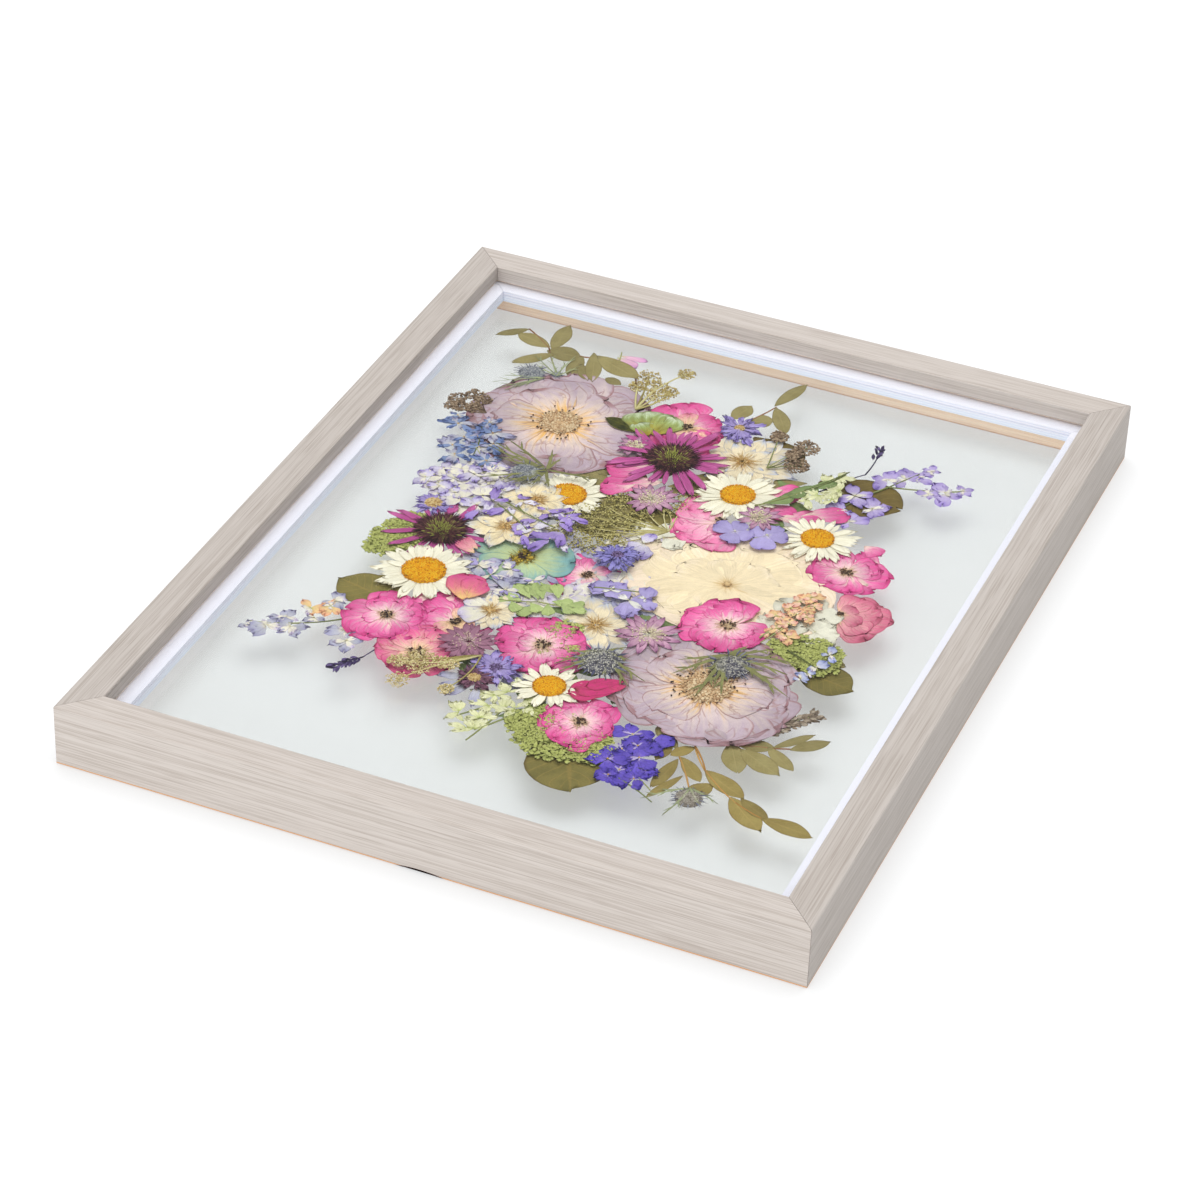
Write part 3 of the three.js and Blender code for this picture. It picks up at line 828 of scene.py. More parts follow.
def beads(rng, x, y, z, size, flat=0.7, long=1.0, tone=None, sides=5):
    # Little lumps: loops whose radius follows 0.4, 1, 0.9 and 0.3 of the size, going up
    x, y, z, size = columned(2, x, y, z, size)
    radius = np.array([0.4, 1.0, 0.9, 0.3])[None, :, None] * size
    rise = np.array([0.0, 0.5, 1.2, 1.7])[None, :, None] * size * flat
    around = -fullTurn * np.arange(sides) / sides
    turn = rng.uniform(0, fullTurn, (len(x), 1, 1))
    ring = turned(x, y, radius * np.cos(around) * long, radius * np.sin(around), turn)
    return loopPart(rng, placed(*ring, z + rise), np.linspace(0, 1, 4)[None, :, None], 0.5, tone)


def tubes(rng, start, end, width, bow=0.0, taper=0.6, flat=0.7, rows=6, sides=6, tone=None):
    # Stems, threads and spines. The centre line is start + (end - start) t with a sideways bow
    # of 4 bow t (1 - t) of its length, and the width shrinks to taper of itself at the end.
    start, end = (np.array(ends, float)[:, None, :] for ends in np.broadcast_arrays(start, end))
    count = len(start)
    t = np.linspace(0, 1, rows)[None, :, None]
    reach = end - start
    level = placed(-reach[..., 1], reach[..., 0], 0)
    centre = start + reach * t + level * 4 * np.broadcast_to(bow, count).reshape(-1, 1, 1) * t * (1 - t)
    forward = np.gradient(centre, axis=1)
    forward = forward / np.maximum(np.linalg.norm(forward, axis=2, keepdims=True), 1e-6)
    upright = np.where(np.abs(forward[..., 2:3]) > 0.95, [1.0, 0.0, 0.0], [0.0, 0.0, 1.0])
    side = np.cross(forward, upright)
    side = side / np.linalg.norm(side, axis=2, keepdims=True)
    normal = np.cross(side, forward)
    around = fullTurn * np.arange(sides)[None, None, :, None] / sides
    half = np.broadcast_to(width, count).reshape(-1, 1, 1, 1) / 2 * (1 - (1 - taper) * t[..., None])
    ringSide = side[:, :, None, :] * np.cos(around) * half
    ringUp = normal[:, :, None, :] * np.sin(around) * half * flat
    return loopPart(rng, centre[:, :, None, :] + ringSide + ringUp, t, 0.5, tone)


def dome(x, y, z, radius, height, rings=8, sides=36, tone=0.5):
    # Loops that rise as height * sin(t) while their radius falls as radius * cos(t)
    t = np.linspace(0, 0.97 * math.pi / 2, rings)[:, None]
    around = -fullTurn * np.arange(sides)[None, :] / sides
    points = placed(*turned(x, y, radius * np.cos(t), 0, around), z + height * np.sin(t))
    return loopPart(None, points[None], t[None] / t.max(), 0.5, tone)


def spiral(count, radius, x, y):
    # Evenly packed places: the k-th is sqrt(k / count) of the radius out, a golden angle on
    order = np.arange(count)
    out = np.sqrt((order + 0.5) / count)
    return (*turned(x, y, radius * out, 0, order * goldenAngle), out)


def scattered(rng, count, x, y, radius, oval=1.0, turn=0.0):
    # Random places in an ellipse
    out, around = radius * np.sqrt(rng.random(count)), rng.uniform(0, fullTurn, count)
    return turned(x, y, oval * out * np.cos(around), out * np.sin(around), turn)


def addPiece(name, parts, slot, nodes=()):
    # One object from (part, finish) pairs, riding on the frame and standing for its CAD nodes
    used = list(dict.fromkeys(finish for _, finish in parts))
    start, faces, which = 0, [], []
    for part, finish in parts:
        added = (part["quads"] + start).tolist() + (part["caps"] + start).tolist()
        faces += added
        which += [used.index(finish)] * len(added)
        start += len(part["points"])
    points, marks, rim = (
        np.concatenate([part[key] for part, _ in parts]) for key in ("points", "marks", "rim")
    )
    mesh = bpy.data.meshes.new(name)
    mesh.from_pydata(points * mm, [], faces)
    for finish in used:
        mesh.materials.append(finishes[finish])
    mesh.polygons.foreach_set("material_index", which)
    mesh.shade_smooth()
    field = mesh.attributes.new("blade", "FLOAT_VECTOR", "POINT")
    field.data.foreach_set("vector", marks.astype(np.float32).ravel())
    ends = np.empty(2 * len(mesh.edges), np.int32)
    mesh.edges.foreach_get("vertices", ends)
    onRim = rim[ends].reshape(-1, 2).all(axis=1)
    mesh.attributes.new("sharp_edge", "BOOLEAN", "EDGE").data.foreach_set("value", onRim)
    mesh.update()
    piece = bpy.data.objects.new(name, mesh)
    bpy.context.scene.collection.objects.link(piece)
    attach(piece, "root")
    if nodes:
        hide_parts(*nodes)


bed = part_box("olive_leaf_front")[0][2] / mm  # underside of the lowest leaves


def placeOf(name, look):
    # Middle, underside and reach, and the CAD nodes it stands for. What isn't a node has its own
    # middle and reach and its height above the bed; a node may have them, and a lift.
    x, y, z, reach, nodes = 0, 0, bed + look.get("above", 0.0), 0, []
    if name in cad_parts:
        low, high = (np.array(corner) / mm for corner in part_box(name))
        (x, y), z = (low[:2] + high[:2]) / 2, low[2] + look.get("lift", 0.0)
        reach, nodes = (high[0] - low[0]) / 2, [name]
    return (*look.get("middle", (x, y)), z, look.get("reach", reach), nodes)


def seeded(looks):
    for name, look in looks.items():
        yield name, look, np.random.default_rng(look["seed"])


# Leaves

print("leaves")

leafShape = dict(swell=0.75, taper=1.7, blunt=0.8, ruffle=0.12, ragged=0.015, steps=13, across=7)
wideShape = dict(swell=0.8, taper=2.6, blunt=0.7, ragged=0.02, steps=15, across=9)

# A leaf is base x, base y, tip x, tip y and width; a stem is from x, from y, to x and to y
leafSprays = {
    "leaf_spray_back": dict(
        finish="leaf_olive", stemFinish="stem_reddish", seed=11,
        leaves=[
            (-139, 194, -152, 180, 6.5), (-121, 181, -143, 187, 11), (-119, 179, -120, 207, 10),
            (-121, 177, -102, 180, 15), (-116, 176, -132, 157, 8.5), (-101, 180, -101, 158, 9),
            (-99, 172, -88, 159, 8), (-97, 186, -85, 159, 9), (-94, 184, -66, 170, 14),
            (-71, 162, -81, 165, 7),
        ],
        stems=[
            (-139, 194, -121, 180), (-121, 180, -104, 155), (-103, 180, -94, 182), (-94, 182, -90, 164),
            (-67, 173, -53, 146),
        ],
    ),
    "leaf_spray_front_left": dict(
        finish="leaf_golden", stemFinish="stem_golden", seed=12,
        leaves=[
            (75, -121, 73, -136, 6.5), (86, -119, 77, -129, 7), (82, -131, 80, -156, 7.5),
            (83, -129, 98, -142, 8), (89, -142, 80, -165, 5), (104, -142, 97, -155, 10),
        ],
        stems=[(86, -119, 97, -134), (82, -129, 97, -153)],
    ),
    "leaf_spray_front_middle": dict(
        finish="leaf_golden", stemFinish="stem_golden", seed=13,
        leaves=[
            (97, -134, 120, -147, 11), (115, -148, 136, -167, 12.5), (120, -147, 136, -157, 7.5),
            (134, -157, 160, -159, 10.5),
        ],
        stems=[(84, -117, 97, -134), (97, -134, 119, -151), (119, -151, 135, -157)],
    ),
    "leaf_spray_front_right": dict(
        finish="leaf_olive", stemFinish="stem_reddish", seed=14,
        leaves=[
            (100, -108, 110, -129, 12), (102, -108, 120, -103, 9.5), (106, -111, 129, -123, 12.5),
            (117, -104, 133, -117, 8), (119, -104, 134, -86, 5.5), (127, -102, 142, -88, 8),
        ],
        stems=[(96, -104, 106, -111), (104, -109, 119, -104), (119, -104, 129, -100)],
    ),
    "leaf_twig_right": dict(
        finish="leaf_olive", stemFinish="stem_reddish", seed=15,
        leaves=[
            (-5, 157, 0, 174, 10.5), (5, 159, 16, 165, 12), (11, 179, 18, 207, 8),
            (12, 178, 27, 157, 9.5),
        ],
        stems=[(4, 160, 12, 179)],
    ),
}

wideLeaves = {
    "brown_leaf_back": dict(leaf=(12, 146, 44, 130, 24), finish="leaf_brown", seed=21),
    "brown_leaf_right": dict(leaf=(58, 121, 104, 115, 34), finish="leaf_brown", seed=22),
    "olive_leaf_left": dict(leaf=(-88, -74, -126, -66, 27), finish="leaf_wide_olive", seed=23),
    "olive_leaf_front": dict(leaf=(22, -125, 46, -174, 42), finish="leaf_wide_olive", seed=24),
    "olive_leaf_right": dict(leaf=(104, -38, 137, -44, 24), finish="leaf_wide_olive", seed=25),
    "olive_leaf_middle": dict(leaf=(-52, 30, 8, 52, 40), finish="leaf_wide_olive", seed=26),
}


def leafBlades(rng, leaves, z, **shape):
    # One blade for each leaf, laid so that each is a little higher than the one before
    baseX, baseY, tipX, tipY, width = np.array(leaves, float).T
    angle, length = np.arctan2(tipY - baseY, tipX - baseX), np.hypot(tipX - baseX, tipY - baseY)
    height = z + 0.06 * np.arange(len(leaves))
    return blades(rng, baseX, baseY, height, angle, length, width, **(leafShape | shape))


def flatStems(rng, stems, z, width, bow=0.04):
    fromX, fromY, toX, toY = np.array(stems, float).T
    bows = rng.uniform(-bow, bow, len(stems))
    return tubes(rng, placed(fromX, fromY, z), placed(toX, toY, z), width, bow=bows, taper=0.7)


for name, look, rng in seeded(leafSprays):
    low = placeOf(name, look)[2]
    bend = rng.uniform(-0.07, 0.07, len(look["leaves"]))
    addPiece(name + "_blades", [
        (leafBlades(rng, look["leaves"], low + 0.3, bend=bend), look["finish"]),
        (flatStems(rng, look["stems"], low + 0.2, 1.1), look["stemFinish"]),
    ], "leaf", [name])

for name, look, rng in seeded(wideLeaves):
    nodes = [name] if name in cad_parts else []
    leaf = leafBlades(rng, [look["leaf"]], bed + (0.05 if nodes else -0.15), **wideShape)
    addPiece(name + "_blade", [(leaf, look["finish"])], "leaf", nodes)


# Garden roses

print("garden roses")

# Each ring is petals, length, breadth, height over the node and finish, from the outermost in
mauveRings = (
    (8, 1.0, 1.1, 0.0, "mauve_outer"), (6, 0.9, 1.05, 0.14, "mauve_outer"),
    (4, 0.7, 0.95, 0.28, "mauve_middle"),
)
ivoryRings = (
    (9, 1.0, 0.9, 0.0, "ivory_outer"), (9, 0.8, 0.8, 0.02, "ivory_inner"),
    (9, 0.5, 0.7, 0.04, "ivory_inner"),
)
gardenShape = dict(
    swell=0.62, taper=6.0, blunt=0.42, ragged=0.03, lobes=0.05, uneven=0.08, scatter=0.3, start=0.05,
    ovalTurn=0.1, steps=18, across=15,
)
mauveShape = gardenShape | dict(layer=0.02, thick=0.05, ruffle=0.09)
ivoryShape = gardenShape | dict(layer=0.004, thick=0.006, ruffle=0.02, oval=1.25)
gardenRoses = {
    "garden_rose_back": dict(
        middle=(-85.5, 112.5), reach=48.5, rings=mauveRings, shape=mauveShape, cushion=0.22,
        crumbs="crumb_tan", seed=31, dots=34,
    ),
    "garden_rose_front": dict(
        middle=(74.0, -75.0), reach=45.5, rings=mauveRings, shape=mauveShape, cushion=0.26,
        crumbs="crumb_tan", seed=32, dots=34,
    ),
    "garden_rose_white": dict(
        middle=(50.0, 12.0), reach=45, rings=ivoryRings, shape=ivoryShape, cushion=0.04,
        crumbs="crumb_pale", seed=33, lift=0.6,
    ),
}


def crumpledMiddle(rng, x, y, z, radius, count, finish):
    # A flat cushion of short threads and crumbs
    px, py, _ = spiral(count, radius, x, y)
    heading = np.arctan2(py - y, px - x) + rng.normal(0, 0.7, count)
    reach = 0.24 * radius * rng.uniform(0.5, 1.2, count)
    tips = placed(*turned(px, py, reach, 0, heading), z + rng.uniform(0.1, 0.5, count))
    threads = tubes(rng, placed(px, py, z), tips, 0.09 * radius, rows=3, sides=5, taper=0.7)
    lumps = beads(rng, px, py, z, 0.07 * radius * rng.uniform(0.6, 1.3, count))
    return [(threads, finish), (lumps, finish), (dome(x, y, z - 0.2, radius, 0.5), finish)]


def threadCrown(rng, x, y, z, reach, count, rise=0.5, width=0.35):
    # Threads that spread from a middle, with their lengths and headings scattered
    around = rng.uniform(0, fullTurn, count)
    out = reach * np.sqrt(rng.uniform(0.1, 1.0, count))
    start = placed(*turned(x, y, 0.2 * out, 0, around), z)
    end = placed(*turned(x, y, out, 0, around), z + rise * rng.random(count))
    return tubes(rng, start, end, width, bow=rng.uniform(-0.12, 0.12, count), rows=4, sides=4)


for name, look, rng in seeded(gardenRoses):
    x, y, z, reach, nodes = placeOf(name, look)
    radius, crumbs = look["cushion"] * reach, look["crumbs"]
    parts = stacked(rng, x, y, z, reach, look["rings"], **look["shape"])
    parts += crumpledMiddle(rng, x, y, z + 0.6, radius, 150, crumbs)
    parts.append((threadCrown(rng, x, y, z + 0.6, 1.6 * radius, 70, rise=0.2, width=0.22), crumbs))
    if "dots" in look:
        around = rng.uniform(0, fullTurn, look["dots"])
        out = radius * rng.uniform(0.85, 1.6, look["dots"])
        parts.append((beads(rng, *turned(x, y, out, 0, around), z + 0.75, 0.5, long=1.5), "anther_dark"))
    addPiece(name + "_bloom", parts, "garden_petal", nodes)


# Spray roses

print("spray roses")

sprayShape = dict(
    scatter=0.35, layer=0.025, swell=0.6, taper=4.5, blunt=0.5, ruffle=0.13, ragged=0.045, lobes=0.06,
    notch=0.06, thick=0.07, uneven=0.2, sway=0.1, steps=15, across=13,
)
sprayRoses = {
    "spray_rose_back": dict(
        inner="peach_inner", eye=0.15, seed=41, middle=(-22, 137), reach=17.5, oval=1.4, ovalTurn=-1.17,
        lift=0.9,
    ),
    "spray_rose_middle": dict(eye=0.12, seed=42),
    "spray_rose_right": dict(eye=0.15, seed=43),
    "spray_rose_left": dict(eye=0.14, seed=44),
    "spray_rose_bud_left": dict(
        inner="peach_inner", eye=0.12, seed=49, middle=(-58, -77), reach=20, lift=0.9,
    ),
    "spray_rose_peach": dict(outer="peach_outer", inner="peach_inner", eye=0.17, seed=45, lift=0.5),
    "spray_rose_centre": dict(eye=0.17, seed=46, lift=1.1, oval=1.12),
    "spray_rose_front": dict(eye=0.15, seed=47),
    "spray_rose_on_white": dict(eye=0.15, seed=48),
}

# Roses pressed from the side: the fan's heading and spread, its root and the radius of each fan
sideRoses = {
    "spray_rose_side": dict(
        middle=(27, 62), heading=3.6, sweep=2.7, reach=26, outer="pink_pale", seed=51, eye=2.8,
    ),
    "spray_rose_dusty": dict(
        middle=(110, 12), heading=0.4, sweep=2.5, reach=24, outer="dusty_outer", seed=52, eye=1.4,
    ),
}


def roseEye(rng, x, y, z, radius):
    # Dark anthers on tan threads that spread from the middle
    px, py = scattered(rng, 34, x, y, 1.15 * radius)
    dots = beads(rng, px, py, z + 0.2, rng.uniform(0.3, 0.55, 34), long=1.5)
    around = rng.uniform(0, fullTurn, 44)
    reach = radius * rng.uniform(0.9, 1.9, 44)
    tips = placed(*turned(x, y, reach, 0, around), z + 0.1)
    threads = tubes(rng, placed(x, y, z), tips, 0.3, rows=3, sides=4, taper=0.7)
    return [(threads, "crumb_tan"), (dots, "anther_dark")]


for name, look, rng in seeded(sprayRoses):
    x, y, z, reach, nodes = placeOf(name, look)
    outer, inner = look.get("outer", "pink_outer"), look.get("inner", "pink_inner")
    rings = [(6, 1.0, 1.02, 0.0, outer), (5, 0.88, 0.94, 0.14, outer), (5, 0.6, 0.8, 0.28, inner)]
    shape = sprayShape | dict(oval=look.get("oval", 1.0), ovalTurn=look.get("ovalTurn", 0.0))
    parts = stacked(rng, x, y, z, 1.04 * reach, rings, start=0.04, **shape)
    parts += roseEye(rng, x, y, z + 0.62, look["eye"] * reach)
    addPiece(name + "_bloom", parts, "pink_petal", nodes)

sideShape = sprayShape | dict(scatter=0.15, ragged=0.03, lobes=0.05, start=0.02)

for name, look, rng in seeded(sideRoses):
    x, y, z, reach, nodes = placeOf(name, look | {"lift": 0.6})
    parts = []
    for petals, size, height in ((4, 1.0, 0.0), (4, 0.86, 0.2), (2, 0.5, 0.4)):
        turn = look["heading"] - look["sweep"] * (petals - 1) / petals / 2
        ring = (petals, size, 0.92, height, look["outer"])
        parts += stacked(rng, x, y, z, reach, [ring], turn=turn, sweep=look["sweep"], **sideShape)
    parts += roseEye(rng, x, y, z + 0.6, look["eye"])
    addPiece(name + "_bloom", parts, "pink_petal", nodes)


# Daisies

print("daisies")

daisies = {
    "daisy_middle": dict(rays=22, disc=9.8, lift=0.3, seed=61, rayWidth=0.22, middle=(-53.5, 50.5)),
    "daisy_back": dict(rays=26, disc=9.2, lift=0.2, seed=62, rayWidth=0.2),
    "daisy_right": dict(rays=27, disc=8.6, lift=0.4, seed=63, rayWidth=0.17),
    "daisy_left": dict(rays=25, disc=11.2, lift=0.0, seed=64, rayWidth=0.22, reach=24.4),
    "daisy_front": dict(rays=22, disc=8.2, lift=0.2, seed=65, rayWidth=0.22),
}
daisyShape = dict(
    swell=0.4, taper=2.6, blunt=0.62, ragged=0.05, ruffle=0.1, steps=11, across=7, uneven=0.2,
    scatter=0.3, layer=0.02, notch=0.06, lobes=0.05, sway=0.05,
)

for name, look, rng in seeded(daisies):
    x, y, z, reach, nodes = placeOf(name, look)
    rays, width, disc = look["rays"], look["rayWidth"], look["disc"]
    rings = [(rays, 1.0, width, 0.0, "ivory_ray"), (rays - 6, 0.92, width, 0.35, "ivory_ray")]
    parts = stacked(rng, x, y, z, reach, rings, start=0.7 * disc / reach, **daisyShape)
    parts.append((dome(x, y, z + 0.5, disc, 0.8, tone=0.6), "gold_disc"))
    px, py, out = spiral(330, disc, x, y)
    top = z + 0.55 + 0.75 * np.sqrt(1 - 0.96 * out ** 2)
    for ring, size, finish in ((out < 0.9, 1.25, "gold_disc"), (out >= 0.9, 1.7, "gold_rim")):
        parts.append((beads(rng, px[ring], py[ring], top[ring], 0.034 * disc * size), finish))
    addPiece(name + "_bloom", parts, "daisy_petal", nodes)


# Coneflowers

print("coneflowers")

coneflowers = {
    "coneflower_back": dict(rays=34, cone=13.5, shift=0, lift=0.9, seed=71, start=0.3),
    "coneflower_left": dict(rays=30, cone=13.5, shift=6, lift=0.9, seed=72, start=0.25),
}

for name, look, rng in seeded(coneflowers):
    x, y, z, reach, nodes = placeOf(name, look)
    x += look["shift"]
    rays = florets(
        rng, x, y, z, reach, look["rays"], 0.125, start=look["start"], uneven=0.36, scatter=0.9,
        swell=0.3, taper=6.0, blunt=0.7, bend=rng.uniform(-0.16, 0.16, look["rays"]), ruffle=0.2,
        ragged=0.03, notch=0.05, steps=12, across=7,
    )
    count, cone = 430, look["cone"]
    px, py, out = spiral(count, 0.86 * cone, x, y)
    around = np.arctan2(py - y, px - x)
    lean = math.radians(12) + math.radians(66) * out ** 1.5
    size = 0.22 * cone * rng.uniform(0.7, 1.4, count) * (0.6 + 0.8 * out)
    foot = placed(px, py, z + 0.5 + 1.1 * np.sqrt(1 - 0.9 * out ** 2))
    heading = placed(*turned(0, 0, np.sin(lean), 0, around), 0.45 * np.cos(lean))
    tone = np.clip(1.05 - 1.05 * out + rng.normal(0, 0.2, count), 0, 1)
    tips = foot + heading * size[:, None]
    spines = tubes(rng, foot, tips, 0.075 * cone, rows=3, sides=5, taper=0.25, flat=1.0, tone=tone)
    core = dome(x, y, z + 0.3, 0.9 * cone, 1.3, tone=0.15)
    parts = [(rays, "magenta_ray"), (core, "cone_spine"), (spines, "cone_spine")]
    addPiece(name + "_bloom", parts, "cone_petal", nodes)


# Love-in-a-mist and hellebore

print("love-in-a-mist and hellebore")

mistFlowers = {
    "nigella_back": dict(petals=12, finish="mist_petal", seed=81),
    "nigella_middle": dict(petals=11, finish="mist_petal", seed=82),
    "nigella_left": dict(
        petals=10, finish="mist_pale", seed=83, middle=(-65, 37), above=2.3, reach=17.5,
    ),
    "nigella_low": dict(petals=9, finish="mist_pale", seed=84, middle=(-69, 8), above=2.6, reach=18.5),
    "nigella_front_left": dict(
        petals=8, finish="mist_petal", seed=85, middle=(-46, -61), above=1.5, reach=16,
    ),
}
mistShape = dict(
    swell=0.6, taper=1.9, blunt=0.85, ruffle=0.14, ragged=0.03, lobes=0.06, steps=12, across=9,
    start=0.08, scatter=0.35, layer=0.02, uneven=0.25,
)

for name, look, rng in seeded(mistFlowers):
    x, y, z, reach, nodes = placeOf(name, look)
    count, finish = look["petals"], look["finish"]
    rings = [
        (count + 3, 1.08, 0.46, 0.0, finish), (count + 1, 0.9, 0.44, 0.2, finish),
        (count - 2, 0.62, 0.4, 0.4, finish),
    ]
    parts = stacked(rng, x, y, z, reach, rings, **mistShape)
    parts.append((threadCrown(rng, x, y, z + 0.6, 0.4 * reach, 80, width=0.3), "mist_thread"))
    lumps = beads(rng, *scattered(rng, 40, x, y, 0.14 * reach), z + 0.7, 0.4)
    addPiece(name + "_bloom", parts + [(lumps, "mist_thread")], "mist_petal", nodes)

helleboreShape = dict(
    swell=0.62, taper=4.5, blunt=0.5, ruffle=0.1, ragged=0.025, lobes=0.06, steps=14, across=11,
    start=0.05, thick=0.08, turn=0.3, layer=0.03,
)

for name, look, rng in seeded({"hellebore": dict(seed=91, lift=0.2)}):
    x, y, z, reach, nodes = placeOf(name, look)
    px, py = scattered(rng, 60, x, y, 0.26 * reach)
    addPiece(name + "_bloom", [
        (florets(rng, x, y, z, 1.05 * reach, 5, 1.08, **helleboreShape), "teal_petal"),
        (threadCrown(rng, x, y, z + 0.5, 0.38 * reach, 90), "hellebore_thread"),
        (beads(rng, px, py, z + 0.6, 0.55, long=1.4), "hellebore_thread"),
        (beads(rng, *scattered(rng, 14, x, y, 0.13 * reach), z + 0.9, 0.7), "anther_dark"),
    ], "mist_petal", nodes)


# Masterworts: pointed bracts round a tuft of pale threads

print("masterworts and scabious")

masterworts = {
    "masterwort_middle": dict(middle=(-13, 65), above=2.0, reach=14.5, bracts=14, seed=101),
    "masterwort_dark": dict(
        middle=(-44, -92), above=3.2, reach=15.5, bracts=19, finish="dark_bract", tuft="mauve_thread",
        seed=102,
    ),
    "masterwort_front": dict(middle=(32, -47), above=2.6, reach=17, bracts=13, seed=103),
    "masterwort_right": dict(middle=(44, 72), above=2.8, reach=12, bracts=12, seed=104),
    "masterwort_back": dict(middle=(-40, 107), above=2.2, reach=10, bracts=12, seed=105),
}
bractShape = dict(
    swell=0.6, taper=1.7, blunt=0.85, ruffle=0.14, ragged=0.02, steps=9, across=7, scatter=0.2,
    start=0.15,
)

for name, look, rng in seeded(masterworts):
    x, y, z, reach, nodes = placeOf(name, look)
    finish, tuft = look.get("finish", "mauve_bract"), look.get("tuft", "cream_thread")
    px, py = scattered(rng, 60, x, y, 0.5 * reach)
    rings = [(look["bracts"], 1.0, 0.28, 0.0, finish), (look["bracts"] - 1, 0.74, 0.24, 0.2, finish)]
    parts = stacked(rng, x, y, z, reach, rings, **bractShape)
    parts.append((threadCrown(rng, x, y, z + 0.4, 0.56 * reach, 80, width=0.3), tuft))
    parts.append((beads(rng, px, py, z + 0.7, 0.4, tone=0.9), tuft))
    addPiece(name + "_bloom", parts, "mist_petal", nodes)


# Scabious and cornflowers: many small ragged petals

scabious = {
    "scabious_back": dict(
        middle=(3, 148), above=1.0, reach=11.5, finish="scabious_lilac", button="tan_button", eye=0.25,
        seed=111, oval=1.25,
    ),
    "cornflower_middle": dict(
        middle=(-7, 6), above=4.0, reach=11, finish="corn_blue", button="plum_button", eye=0.3,
        seed=112,
    ),
    "cornflower_front": dict(
        middle=(-23, -106), above=2.4, reach=12.5, finish="scabious_lilac", button="plum_button",
        eye=0.28, seed=113,
    ),
    "scabious_plum_front": dict(
        middle=(-29, -118), above=2.7, reach=9.5, finish="plum_petal", button="tan_button", eye=0.36,
        seed=114,
    ),
    "scabious_left": dict(
        middle=(-112, 13), above=0.6, reach=10, finish="scabious_lilac", button="tan_button", eye=0.45,
        seed=115,
    ),
}
raggedShape = dict(
    swell=0.7, taper=6.0, blunt=0.4, ruffle=0.25, ragged=0.13, notch=0.25, lobes=0.16, steps=9,
    across=5, scatter=0.9, uneven=0.35, sway=0.14, ovalTurn=-1.17,
)

for name, look, rng in seeded(scabious):
    x, y, z, reach, nodes = placeOf(name, look)
    eye, finish, button = look["eye"] * reach, look["finish"], look["button"]
    px, py, out = spiral(90, eye, x, y)
    shape = raggedShape | dict(oval=look.get("oval", 1.0))
    lowest = [(24, 1.0, 0.27, 0.0, finish)]
    upper = [(24, 0.82, 0.25, 0.4, finish), (20, 0.62, 0.22, 0.8, finish)]
    parts = stacked(rng, x, y, z, reach, lowest, start=0.25, **shape)
    parts += stacked(rng, x, y, z, reach, upper, start=0.2, **shape)
    parts.append((dome(x, y, z + 0.7, eye, 0.8, sides=24), button))
    top = z + 0.8 + 0.7 * np.sqrt(1 - 0.95 * out ** 2)
    parts.append((beads(rng, px, py, top, 0.13 * eye), button))
    addPiece(name + "_bloom", parts, "spike", nodes)


# Thistles: a domed head of small spines and long narrow bracts

print("thistles")

thistles = {
    "thistle_front": dict(
        hub=(74, -48), head=(78.5, -55), radius=10, above=3.2, seed=121, bract="olive_bract",
        bractWidth=2.3,
        tips=[
            (55, -74), (55, -62), (70, -66), (77, -75), (72, -87), (82, -79), (102, -60), (112, -67),
            (105, -50), (107, -39), (92, -35), (80, -37), (95, -58),
        ],
    ),
    "thistle_middle": dict(
        hub=(18, -71), head=(20, -79), radius=11.5, above=3.0, seed=122, bract="olive_bract",
        bractWidth=2.0,
        tips=[
            (1, -90), (4, -79), (9, -90), (6, -97), (45, -86), (41, -93), (33, -73), (28, -90),
            (27, -64), (20, -84), (14, -88),
        ],
    ),
    "thistle_left": dict(
        hub=(-71, 63), head=(-80, 58), radius=8.0, above=3.4, seed=123, bract="olive_bract",
        bractWidth=1.9, finish="pale_thistle_head",
        tips=[
            (-44, 66), (-81, 44), (-99, 41), (-108, 70), (-105, 74), (-99, 81), (-75, 81), (-69, 76),
            (-97, 63), (-64, 49), (-72, 46), (-85, 43),
        ],
    ),
    "thistle_top_left": dict(
        hub=(-110, 150), head=(-119, 152), radius=7.5, above=0.3, seed=124, nodes=["thistle_head_back"],
        finish="pale_thistle_head", bractWidth=0.8,
        tips=[(-133, 135), (-129, 130), (-125, 130), (-121, 134), (-131, 143)],
    ),
    "thistle_top_right": dict(
        hub=(-105, 154), head=(-106, 156), radius=3, above=0.5, seed=125, finish="pale_thistle_head",
        bractWidth=0.9,
        tips=[(-106, 168), (-118, 174), (-125, 169), (-119, 159), (-105, 177), (-110, 163), (-98, 168)],
    ),
    "thistle_front_low": dict(
        hub=(96, -150), head=(98, -157), radius=7, above=0.3, bractWidth=1.2, seed=126,
        nodes=["thistle_ball_front"], finish="grey_ball",
        tips=[(84, -158), (78, -166), (93, -174), (104, -160), (112, -155)],
    ),
}
thistleShape = dict(
    swell=0.2, taper=1.4, blunt=0.8, ruffle=0.06, ragged=0.05, lobes=0.0, steps=12, across=5,
)
frillShape = dict(
    swell=0.4, taper=1.3, blunt=0.9, ragged=0.1, ruffle=0.1, steps=6, across=3, start=0.55, scatter=0.5,
    uneven=0.25,
)

